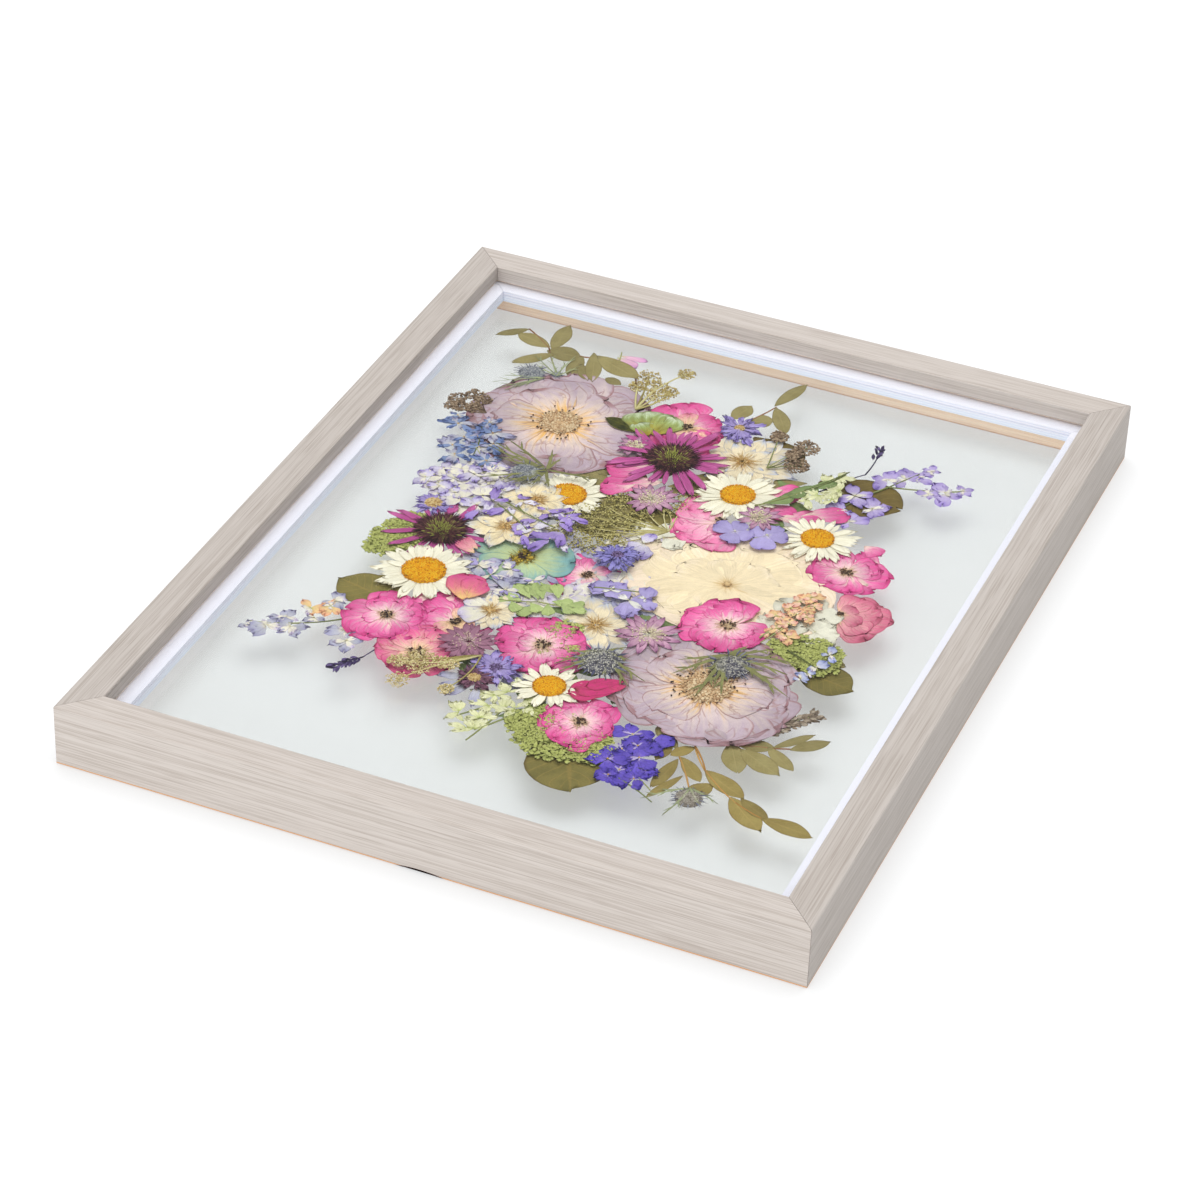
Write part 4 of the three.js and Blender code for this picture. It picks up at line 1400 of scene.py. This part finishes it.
for name, look, rng in seeded(thistles):
    # A ball of dots with a frill and hairs round it, under long forked bracts from its foot
    z, (hx, hy), (x, y), radius = bed + look["above"], look["hub"], look["head"], look["radius"]
    head, bract = look.get("finish", "thistle_head"), look.get("bract", "thistle_bract")
    wide, tips = look["bractWidth"], np.array(look["tips"], float)
    count = len(tips)
    angle = np.arctan2(tips[:, 1] - hy, tips[:, 0] - hx)
    length = np.hypot(tips[:, 0] - hx, tips[:, 1] - hy)
    bend = rng.uniform(-0.16, 0.16, count)
    over = z + 0.9 + rng.uniform(0, 0.25, count)
    bracts = blades(rng, hx, hy, over, angle - 0.7 * bend, length, wide, bend=bend, **thistleShape)
    share, side = np.repeat([0.5, 0.7], count), np.tile([1, -1], (count, 1)).T.ravel()
    heading, far, bend = (np.tile(value, 2) for value in (angle - 0.7 * bend, length, bend))
    root = turned(hx, hy, share * far, share ** 2 * bend * far, heading)
    forks = blades(rng, *root, z + 1.0, heading + 0.5 * side, 0.22 * far, 0.65 * wide, **thistleShape)
    px, py, out = spiral(520, 0.95 * radius, x, y)
    top = z + 0.1 + 0.85 * np.sqrt(1 - 0.97 * out ** 2)
    hairs = threadCrown(rng, x, y, z + 0.3, 1.5 * radius, 46, rise=0.3, width=0.22)
    addPiece(name + "_head", [
        (florets(rng, x, y, z, 1.3 * radius, 30, 0.07, **frillShape), "thistle_frill"),
        (hairs, "thistle_hair"), (dome(x, y, z, 0.92 * radius, 0.9, tone=0.1), head),
        (beads(rng, px, py, top, 0.042 * radius, sides=4), head), (bracts, bract), (forks, bract),
    ], "spike", look.get("nodes", []))


# Larkspur, delphinium and hydrangea florets

print("larkspur, delphinium and hydrangea")

roundPetal = dict(
    swell=0.6, taper=4.0, blunt=0.5, ruffle=0.12, ragged=0.04, lobes=0.07, uneven=0.2, sway=0.06,
    steps=9, across=7,
)
larkPetal = dict(
    swell=0.7, taper=2.8, blunt=0.6, ruffle=0.24, ragged=0.09, lobes=0.14, notch=0.1, uneven=0.4,
    scatter=0.5, sway=0.12, steps=9, across=7,
)
crushedPetal = dict(
    swell=0.55, taper=3.4, blunt=0.5, ruffle=0.22, ragged=0.09, lobes=0.14, notch=0.1, uneven=0.35,
    scatter=0.4, sway=0.12, steps=9, across=7,
)
shardPetal = dict(
    swell=0.45, taper=5.0, blunt=0.35, ruffle=0.12, ragged=0.12, lobes=0.2, notch=0.15, uneven=0.4,
    scatter=0.6, sway=0.2, steps=9, across=7,
)

# A cluster is a list of floret middles with their reach. Each layer of its florets is petals,
# size, breadth and finish.
clusters = {
    "larkspur_right": dict(
        nodes=["larkspur_spray_right"], above=0.3, seed=131,
        florets=[
            (90, 137, 9), (98, 142, 9), (104, 147, 8), (108, 155, 6), (121, 138, 10), (129, 144, 5),
            (80, 115, 10), (92, 108, 9), (85, 92, 9), (77, 98, 8), (114, 134, 7),
        ],
        layers=[(5, 1.0, 0.74, "lilac_petal"), (3, 0.6, 0.5, "cream_petal")],
        stems=[
            (74, 94, 85, 118), (85, 118, 92, 131), (92, 131, 121, 140), (121, 140, 133, 147),
            (85, 118, 103, 150),
        ],
    ),
    "larkspur_left": dict(
        nodes=["larkspur_spray_left"], above=0.3, seed=132,
        florets=[
            (-148, -122, 5), (-140, -119, 9), (-135, -109, 8), (-129, -115, 8), (-119, -86, 7),
            (-104, -106, 8), (-99, -114, 8), (-122, -103, 6),
        ],
        layers=[(5, 1.0, 0.7, "grey_blue_petal"), (3, 0.7, 0.6, "cream_petal")],
        stems=[(-92, -88, -107, -96), (-107, -96, -126, -110), (-126, -110, -149, -119)],
    ),
    "larkspur_left_peach": dict(
        above=0.8, seed=133, florets=[(-127, -97, 8), (-119, -91, 7)],
        layers=[(5, 1.0, 0.66, "peach_floret"), (3, 0.6, 0.6, "cream_petal")],
    ),
    "larkspur_middle": dict(
        above=3.3, seed=134, shape=shardPetal,
        florets=[
            (-87, 15, 9), (-84, 25, 9), (-75, 22, 10), (-74, 33, 8), (-67, 9, 11), (-57, 20, 9),
            (-56, 29, 8), (-51, 31, 9), (-41, 14, 13), (-58, 4, 8), (-44, 6, 11), (-46, 22, 11),
            (-43, 28, 9),
        ],
        layers=[(2, 1.0, 0.5, "violet_shard")],
        stems=[(-86, 31, -47, 17), (-81, 24, -58, 9), (-71, 27, -65, 22)],
    ),
    "larkspur_middle_white": dict(
        above=3.1, seed=146, shape=shardPetal,
        florets=[
            (-83, 14, 9), (-62, 6, 10), (-55, 11, 9), (-38, 5, 9), (-83, 36, 8), (-71, 32, 8),
            (-45, 28, 8), (-50, 1, 9), (-70, 18, 8),
        ],
        layers=[(2, 1.0, 0.55, "white_shard")],
    ),
    "larkspur_centre": dict(
        above=2.5, seed=135, florets=[(12, -25, 14), (1, -21, 11), (19, -20, 9)],
        layers=[(4, 1.0, 0.9, "hydrangea_petal"), (3, 0.55, 0.5, "white_petal")],
        stems=[(-8, -22, 14, -16)],
    ),
    "delphinium_front": dict(
        nodes=["delphinium_violet"], above=1.2, seed=136, eye="pollen_gold",
        florets=[
            (56, -124, 13), (66, -127, 12), (56, -137, 12), (66, -140, 13), (61, -152, 12),
            (70, -156, 9), (53, -147, 10), (62, -132, 10), (58, -158, 8), (71, -147, 8),
        ],
        layers=[(6, 1.0, 0.8, "violet_petal"), (3, 0.34, 0.3, "lilac_petal")],
        stems=[(63, -158, 84, -168), (66, -150, 80, -160)],
    ),
    "delphinium_blue_left": dict(
        above=1.4, seed=137, shape=shardPetal, eye="pollen_gold",
        florets=[
            (-132, 86, 9), (-124, 76, 11), (-112, 86, 10), (-113, 71, 10), (-121, 58, 10),
            (-104, 60, 8), (-136, 94, 6), (-107, 76, 8), (-118, 95, 7), (-126, 66, 9), (-118, 80, 9),
        ],
        layers=[
            (4, 1.0, 0.5, "blue_petal"), (4, 0.9, 0.46, "grey_blue_petal"), (3, 0.7, 0.4, "blue_petal"),
        ],
        stems=[(-130, 88, -104, 60), (-120, 90, -112, 58)],
    ),
    "blue_florets_right": dict(
        above=2.4, seed=138, florets=[(118, -25, 6), (116, -37, 6), (114, -44, 5), (112, -49, 5)],
        layers=[(4, 1.0, 0.7, "sky_petal"), (2, 0.6, 0.5, "cream_petal")], stems=[(98, -30, 116, -38)],
    ),
    "hydrangea_cream_left": dict(
        above=0.6, seed=139, shape=crushedPetal,
        florets=[
            (-119, 32, 9), (-117, 42, 8), (-108, 31, 9), (-106, 42, 9), (-101, 51, 8), (-94, 42, 9),
            (-101, 23, 9), (-92, 30, 9), (-110, 20, 8), (-95, 54, 8), (-87, 52, 8), (-84, 60, 8),
            (-123, 37, 7), (-113, 48, 8), (-86, 40, 8), (-99, 14, 8), (-108, 55, 7), (-76, 52, 8),
        ],
        layers=[(4, 1.0, 0.95, "cream_petal")],
    ),
    "hydrangea_lilac_left": dict(
        above=1.3, seed=140, shape=crushedPetal,
        florets=[
            (-121, 45, 9), (-112, 38, 8), (-104, 60, 8), (-96, 36, 8), (-116, 28, 8), (-91, 20, 8),
            (-90, 50, 8), (-104, 46, 7), (-126, 33, 7), (-98, 58, 7), (-82, 44, 8), (-106, 26, 7),
        ],
        layers=[(4, 1.05, 0.74, "hydrangea_pale"), (2, 0.7, 0.5, "cream_petal")],
    ),
    "hydrangea_on_white": dict(
        above=2.6, seed=141, shape=roundPetal, florets=[(37, 55, 11), (53, 59, 12)],
        layers=[(4, 1.0, 1.05, "hydrangea_petal")],
    ),
    "hydrangea_beside_white": dict(
        above=1.6, seed=142, shape=crushedPetal, florets=[(-1, 26, 12)],
        layers=[(4, 1.0, 0.8, "hydrangea_pale")],
    ),
    "hydrangea_pale_white": dict(
        above=0.9, seed=143, shape=crushedPetal,
        florets=[(6, 36, 15), (98, 4, 16), (86, -12, 14), (104, -8, 13)],
        layers=[(4, 1.0, 0.95, "pale_petal")],
    ),
    "peach_hydrangea_right": dict(
        above=2.4, seed=144,
        florets=[
            (83, -6, 6), (87, -15, 6), (93, -19, 6), (87, 4, 6), (89, 11, 6), (93, 16, 6), (97, 10, 5),
            (92, 0, 6), (95, 3, 5), (91, -10, 6), (87, -6, 5), (97, -1, 5), (85, -20, 5),
        ],
        layers=[(4, 1.0, 0.8, "peach_floret"), (4, 0.75, 0.7, "pink_floret")],
        stems=[(82, -26, 96, 14)],
    ),
    "lilac_petals_low": dict(
        above=1.1, seed=145,
        florets=[
            (-59, -33, 12), (-47, -42, 11), (-68, -28, 11), (-76, -36, 9), (-52, -24, 9), (-38, -28, 8),
        ],
        layers=[
            (4, 1.0, 0.6, "grey_blue_petal"), (3, 0.7, 0.5, "cream_petal"),
            (2, 0.6, 0.4, "hydrangea_petal"),
        ],
    ),
}

for name, look, rng in seeded(clusters):
    x, y, reach = np.array(look["florets"], float).T
    z = bed + look["above"] + rng.permutation(len(x)) * 0.08
    rings = [
        (petals, size, breadth, 0.25 * index, finish)
        for index, (petals, size, breadth, finish) in enumerate(look["layers"])
    ]
    parts = stacked(rng, x, y, z, reach, rings, **look.get("shape", larkPetal))
    parts.append((beads(rng, x, y, z + 0.4, 0.5, flat=0.4), look.get("eye", "pistil_pale")))
    if "stems" in look:
        parts.append((flatStems(rng, look["stems"], bed + look["above"] + 0.3, 1.0), "stem_green"))
    addPiece(name + "_florets", parts, "spike", look.get("nodes", []))


# Clusters of tiny green florets, and lace heads of dots on thin stalks

print("green clusters and lace heads")

# A blob is x, y, radius, how oval it is and the oval's turn
mossClusters = {
    "green_hydrangea": dict(
        nodes=["green_hydrangea_front"], above=0.5, seed=151, count=420,
        blobs=[(24, -138, 20, 1.15, 0.3), (8, -133, 11, 1.1, 1.0), (42, -142, 11, 1.1, 0.2)],
    ),
    "green_cluster_left": dict(above=0.1, seed=152, count=300, blobs=[(-116, -19, 12, 1.8, 1.35)]),
    "green_cluster_right": dict(
        above=0.6, seed=153, count=300, blobs=[(105, -27, 13, 1.4, 0.3), (115, -31, 10, 1.0, 0.0)],
    ),
    "green_cluster_middle": dict(
        above=0.0, seed=154, count=150, blobs=[(-7, -60, 7, 1.3, 0.9), (-4, -76, 7, 1.3, 0.2)],
    ),
}
mossShape = dict(
    swell=0.6, taper=3.5, blunt=0.6, ruffle=0.35, ragged=0.12, steps=5, across=3, start=0.05, tilt=0.3,
)

for name, look, rng in seeded(mossClusters):
    blobs = np.array(look["blobs"])
    share = blobs[:, 2] ** 2
    share = np.maximum((look["count"] * share / share.sum()).astype(int), 8)
    x, y = np.concatenate([scattered(rng, count, *blob) for count, blob in zip(share, blobs)], axis=1)
    z = bed + look["above"] + rng.uniform(0, 1.1, len(x))
    parts = [
        (florets(rng, x, y, z, rng.uniform(1.9, 3.3, len(x)), 4, 0.85, **mossShape), "moss_petal"),
        (beads(rng, x[::5], y[::5], z[::5] + 0.3, 0.25), "dark_spot"),
    ]
    addPiece(name + "_florets", parts, "green_floret", look.get("nodes", []))

# A lace head is its hub, and umbels of x, y and radius, each at the end of a stalk
laceHeads = {
    "lace_middle": dict(
        nodes=["lace_head_middle"], above=0.3, seed=161, dots=90, size=0.56, finish="lace_dot",
        hub=(6, 42),
        umbels=[
            (-44, 20, 8), (-34, 16, 8), (-24, 14, 8), (-46, 32, 7), (-36, 28, 8), (-26, 25, 8),
            (-16, 22, 7), (-40, 40, 7), (-30, 37, 8), (-20, 34, 8), (-32, 50, 7), (-22, 46, 8),
            (-12, 40, 6), (-24, 58, 7), (-16, 62, 7), (-6, 72, 7), (2, 66, 6), (-12, 52, 6), (4, 80, 6),
            (-30, 62, 6), (-2, 60, 5),
        ],
    ),
    "lace_front": dict(
        above=3.6, seed=162, dots=130, size=0.55, finish="lace_light", hub=(-33, -101), stalkWidth=1.0,
        umbels=[
            (-63, -118, 6), (-56, -122, 6), (-58, -114, 6), (-48, -114, 5), (-43, -114, 4),
            (-61, -136, 6), (-37, -133, 4), (-68, -122, 5),
        ],
    ),
    "lace_back": dict(
        above=0.4, seed=163, dots=150, size=0.55, finish="gold_dot", hub=(-54, 142), stalkWidth=1.3,
        umbels=[
            (-60, 175, 7), (-53, 168, 7), (-49, 160, 7), (-44, 166, 5), (-43, 187, 5), (-62, 164, 5),
        ],
    ),
    "yarrow_left": dict(
        above=0.3, seed=164, dots=110, size=0.7, finish="brown_dot", stalk="brown_dot", hub=(-124, 104),
        umbels=[
            (-137, 118, 5), (-144, 111, 5), (-139, 104, 5), (-131, 115, 5), (-132, 106, 5),
            (-144, 103, 4),
        ],
    ),
    "thyme_right": dict(
        above=1.4, seed=165, dots=170, size=0.8, finish="brown_dot", stalk="stem_green", hub=(30, 118),
        umbels=[(25, 149, 5), (42, 145, 7), (43, 127, 7), (38, 136, 4)],
    ),
    "heather_front": dict(
        above=2.0, seed=166, dots=80, size=0.55, finish="brown_dot", stalk="stem_green", hub=(84, -30),
        umbels=[(90, -6, 5), (94, 0, 4)],
    ),
}

for name, look, rng in seeded(laceHeads):
    z, dots, parts = bed + look["above"], look["dots"], []
    finish, stalk = look["finish"], look.get("stalk", "lace_stalk")
    for x, y, radius in look["umbels"]:
        px, py = scattered(rng, dots, x, y, radius)
        pz = z + rng.uniform(0, 1.0, dots)
        size = look["size"] * rng.uniform(0.6, 1.2, dots)
        parts.append((beads(rng, px, py, pz, size, sides=4), finish))
        ends = placed(px, py, pz)[:12]
        parts.append((tubes(rng, placed(x, y, z), ends, 0.35, rows=2, sides=4), stalk))
    stalks = [(*look["hub"], x, y) for x, y, _ in look["umbels"]]
    parts.append((flatStems(rng, stalks, z + 0.9, look.get("stalkWidth", 0.75), bow=0.1), stalk))
    addPiece(name + "_head", parts, "green_floret", look.get("nodes", []))


# Lavender sprigs

print("lavender")

# A sprig is its stems from foot to tip and where along the last stem its buds start
lavenders = {
    "lavender_sprig_right": dict(
        stems=[(60, 108, 67, 119), (67, 119, 78, 136), (78, 136, 77, 163)], start=0.5, spread=1.2,
        buds=18, finish="lavender_bud", stem="lavender_bud", seed=171,
    ),
    "lavender_sprig_left": dict(
        stems=[(-81, -107, -86, -122), (-86, -122, -95, -137)], start=0.1, spread=2.2, buds=36,
        finish="lavender_bud", stem="lavender_bud", seed=172,
    ),
    "lavender_sprig_front": dict(
        stems=[(100, -102, 110, -95), (110, -95, 129, -71)], start=0.0, spread=3.6, buds=170,
        finish="grey_bud", seed=173,
    ),
}
budShape = dict(swell=0.5, taper=2.0, blunt=0.6, thick=0.7, ragged=0.1, steps=6, across=5)

for name, look, rng in seeded(lavenders):
    z = placeOf(name, look)[2] + 0.45
    fromX, fromY, toX, toY = look["stems"][-1]
    t = rng.uniform(look["start"], 1, look["buds"])
    side = rng.normal(0, 0.45, look["buds"]) * look["spread"]
    angle = math.atan2(toY - fromY, toX - fromX)
    x, y = turned(fromX, fromY, math.hypot(toX - fromX, toY - fromY) * t, side, angle)
    lean = angle + 0.5 * np.sign(side) + rng.normal(0, 0.2, look["buds"])
    height = z + rng.uniform(0.3, 1.0, look["buds"])
    addPiece(name + "_buds", [
        (blades(rng, x, y, height, lean, 3.4, 1.5, **budShape), look["finish"]),
        (flatStems(rng, look["stems"], z + 0.2, 0.9), look.get("stem", "stem_green")),
    ], "spike", [name])


# Loose petals, sprigs and buds

print("loose petals, sprigs and buds")

widePetal = dict(swell=0.7, taper=4.5, blunt=0.5, ruffle=0.16, ragged=0.03, steps=13, across=11)
narrowPetal = dict(
    swell=0.7, taper=2.8, blunt=0.6, ruffle=0.2, ragged=0.06, lobes=0.08, steps=9, across=7,
)
lobed = dict(swell=0.9, taper=5.0, blunt=0.5, ruffle=0.2, ragged=0.06, steps=11, across=7)

# A loose blade is base x, base y, tip x, tip y and width
looseBlades = {
    "petal_pink_back_left": dict(
        above=1.9, finish="pink_outer", seed=181,
        blades=[(-20, 92, -46, 84, 20), (-14, 82, -40, 68, 16), (-26, 74, -40, 62, 13)],
    ),
    "petal_pink_back_right": dict(
        above=1.3, finish="pink_outer", seed=182,
        blades=[(-22, 118, -4, 122, 22), (-24, 124, -8, 136, 15)],
    ),
    "petal_pink_right": dict(
        above=1.2, finish="pink_outer", seed=183,
        blades=[
            (34, 92, 56, 104, 17), (36, 84, 58, 82, 15), (52, 78, 72, 86, 16), (62, 84, 82, 98, 15),
        ],
    ),
    "bud_peach_left": dict(
        above=3.0, finish="bud_peach", seed=185,
        blades=[(-62, -60, -70, -40, 20), (-60, -57, -63, -41, 14), (-60, -58, -57, -44, 9)],
    ),
    "bud_deep_pink_front": dict(
        above=3.2, finish="bud_deep_pink", seed=186,
        blades=[(39, -92, 16, -109, 16), (38, -96, 18, -104, 12), (37, -89, 21, -99, 9)],
    ),
    "bud_red_left": dict(
        above=2.4, finish="dusty_outer", seed=187,
        blades=[(-74, -20, -86, -14, 8), (-74, -16, -84, -10, 6)],
    ),
    "petal_pale_green_back": dict(
        above=1.9, finish="pale_green_petal", slot="green_floret", seed=188,
        blades=[(-40, 122, -50, 140, 24), (-36, 122, -32, 143, 20), (-38, 120, -46, 130, 14)],
    ),
    "leaf_dark_back": dict(
        above=1.7, finish="leaf_dark_green", shape=leafShape, slot="leaf", seed=189,
        blades=[(-43, 122, -65, 127, 10)], stems=[(-35, 112, -44, 123)],
    ),
    "green_sprig_middle": dict(
        above=1.6, finish="sprig_green", shape=lobed, slot="green_floret", seed=190,
        blades=[
            (-37, -50, -47, -52, 8), (-36, -47, -45, -45, 7), (-33, -43, -43, -34, 8),
            (-29, -42, -38, -32, 8), (-27, -41, -35, -29, 8), (-22, -34, -32, -30, 7),
            (-22, -41, -12, -39, 8), (-27, -47, -32, -59, 8), (-23, -44, -19, -53, 7),
            (-17, -41, -9, -47, 7), (-31, -47, -24, -52, 7), (-14, -41, -6, -38, 7),
            (-40, -50, -34, -57, 7), (-20, -38, -25, -27, 7), (-12, -44, -3, -43, 6),
        ],
        stems=[(-47, -51, -28, -44), (-28, -44, -8, -42)],
    ),
    "green_pods_right": dict(
        above=3.8, finish="pod_green", shape=lobed, slot="green_floret", seed=191,
        blades=[(41, 84, 54, 94, 8), (46, 92, 58, 104, 9), (50, 98, 60, 110, 8), (56, 106, 68, 118, 7)],
        stems=[(38, 80, 56, 104), (56, 104, 71, 131)],
    ),
    "lilac_blades_front": dict(
        above=1.8, finish="grey_blue_petal", shape=narrowPetal, slot="spike", seed=192,
        blades=[
            (-28, -118, -36, -133, 5), (-26, -120, -22, -136, 5), (-34, -116, -46, -122, 6),
            (-30, -120, -42, -128, 4),
        ],
    ),
    "blue_petals_left": dict(
        above=2.0, finish="cream_petal", slot="mist_petal", seed=193,
        blades=[(-46, -62, -58, -72, 14), (-48, -58, -62, -58, 10)],
    ),
    "pink_bud_back": dict(
        above=0.2, finish="sweet_pea", seed=194,
        blades=[(-84, 188, -72, 181, 10), (-84, 190, -68, 190, 5)], stems=[(-80, 176, -84, 194)],
    ),
    "white_petals_right": dict(
        above=0.1, finish="pale_petal", slot="garden_petal", seed=195,
        blades=[(80, -4, 104, -14, 22), (84, 2, 112, 4, 20), (0, 40, 22, 30, 22)],
    ),
}

# Petals and leaflets that show in the gaps: middles with a radius, and how many are laid there
fillers = {
    "filler_lilac_petals": dict(
        finish="grey_blue_petal", slot="spike", seed=211, count=90, above=0.15, length=20, width=11,
        spots=[
            (-84, 36, 30), (-52, -28, 24), (4, -22, 18), (-18, -98, 16), (-60, 10, 26), (-22, 0, 16),
            (22, -14, 14),
        ],
    ),
    "filler_cream_petals": dict(
        finish="cream_petal", slot="mist_petal", seed=212, count=108, above=0.3, length=16, width=10,
        spots=[
            (-100, 36, 20), (-64, 26, 28), (-44, -50, 20), (0, 28, 14), (92, -6, 16), (-8, 18, 14),
            (8, -2, 12), (-44, -55, 12), (-12, -28, 12),
        ],
    ),
    "filler_leaflets": dict(
        finish="pod_green", slot="leaf", seed=213, count=70, above=0.0, length=17, width=7,
        spots=[
            (-10, -48, 28), (30, -90, 24), (-50, -100, 22), (56, 92, 22), (-104, 0, 16), (10, -126, 16),
            (28, -26, 14),
        ],
    ),
    "filler_olive_leaflets": dict(
        finish="leaf_olive", slot="leaf", seed=214, count=70, above=-0.1, length=20, width=9,
        spots=[
            (-30, 60, 30), (24, 112, 22), (-90, -66, 26), (74, -100, 18), (104, -26, 14),
            (-30, 100, 24), (-44, 70, 14), (6, 92, 12),
        ],
    ),
    "filler_pink_petals": dict(
        finish="pink_outer", slot="pink_petal", seed=215, count=40, above=0.4, length=15, width=12,
        spots=[
            (-76, -92, 16), (-24, 112, 14), (100, 60, 16), (-6, -84, 12), (-72, -63, 10),
            (-60, -60, 10),
        ],
    ),
}

for name, look, rng in seeded(fillers):
    count = look["count"]
    x, y, radius = np.array(look["spots"], float)[rng.integers(0, len(look["spots"]), count)].T
    x, y = scattered(rng, count, x, y, radius)
    z = bed + look["above"] + rng.uniform(0, 0.3, count)
    length = look["length"] * rng.uniform(0.7, 1.2, count)
    heading = rng.uniform(0, fullTurn, count)
    x, y = turned(x, y, -length / 2, 0, heading)
    laid = blades(rng, x, y, z, heading, length, look["width"], ruffle=0.1, lobes=0.06)
    addPiece(name, [(laid, look["finish"])], look["slot"])

for name, look, rng in seeded(looseBlades):
    z = bed + look["above"]
    shape = dict(bend=rng.uniform(-0.1, 0.1, len(look["blades"]))) | look.get("shape", widePetal)
    parts = [(leafBlades(rng, look["blades"], z, **shape), look["finish"])]
    if "stems" in look:
        parts.append((flatStems(rng, look["stems"], z, 1.0), "stem_green"))
    addPiece(name + "_blades", parts, look.get("slot", "pink_petal"))

stocks = {
    "stocks_front": dict(
        above=1.2, seed=201,
        florets=[
            (-20, -149), (-15, -124), (-14, -133), (-10, -120), (-7, -114), (4, -124), (-2, -129),
            (-13, -153), (-25, -143), (-7, -132), (-20, -124), (-1, -120), (-14, -144), (-16, -154),
        ],
        stems=[(6, -118, -13, -153), (-7, -130, -13, -162), (-12, -130, -24, -145)],
    ),
    "stocks_right": dict(
        above=3.5, seed=202,
        florets=[(60, 98), (64, 104), (69, 110), (67, 124), (72, 102), (63, 116), (73, 112)],
        stems=[(60, 108, 70, 128)],
    ),
}

for name, look, rng in seeded(stocks):
    x, y = np.array(look["florets"], float).T
    z = bed + look["above"] + 0.08 * rng.permutation(len(x))
    bells = florets(rng, x, y, z, 8.0, 5, 0.5, sweep=3.4, **larkPetal)
    stems = flatStems(rng, look["stems"], bed + look["above"] + 0.3, 1.3)
    addPiece(name + "_florets", [(bells, "stock_petal"), (stems, "stem_green")], "green_floret")
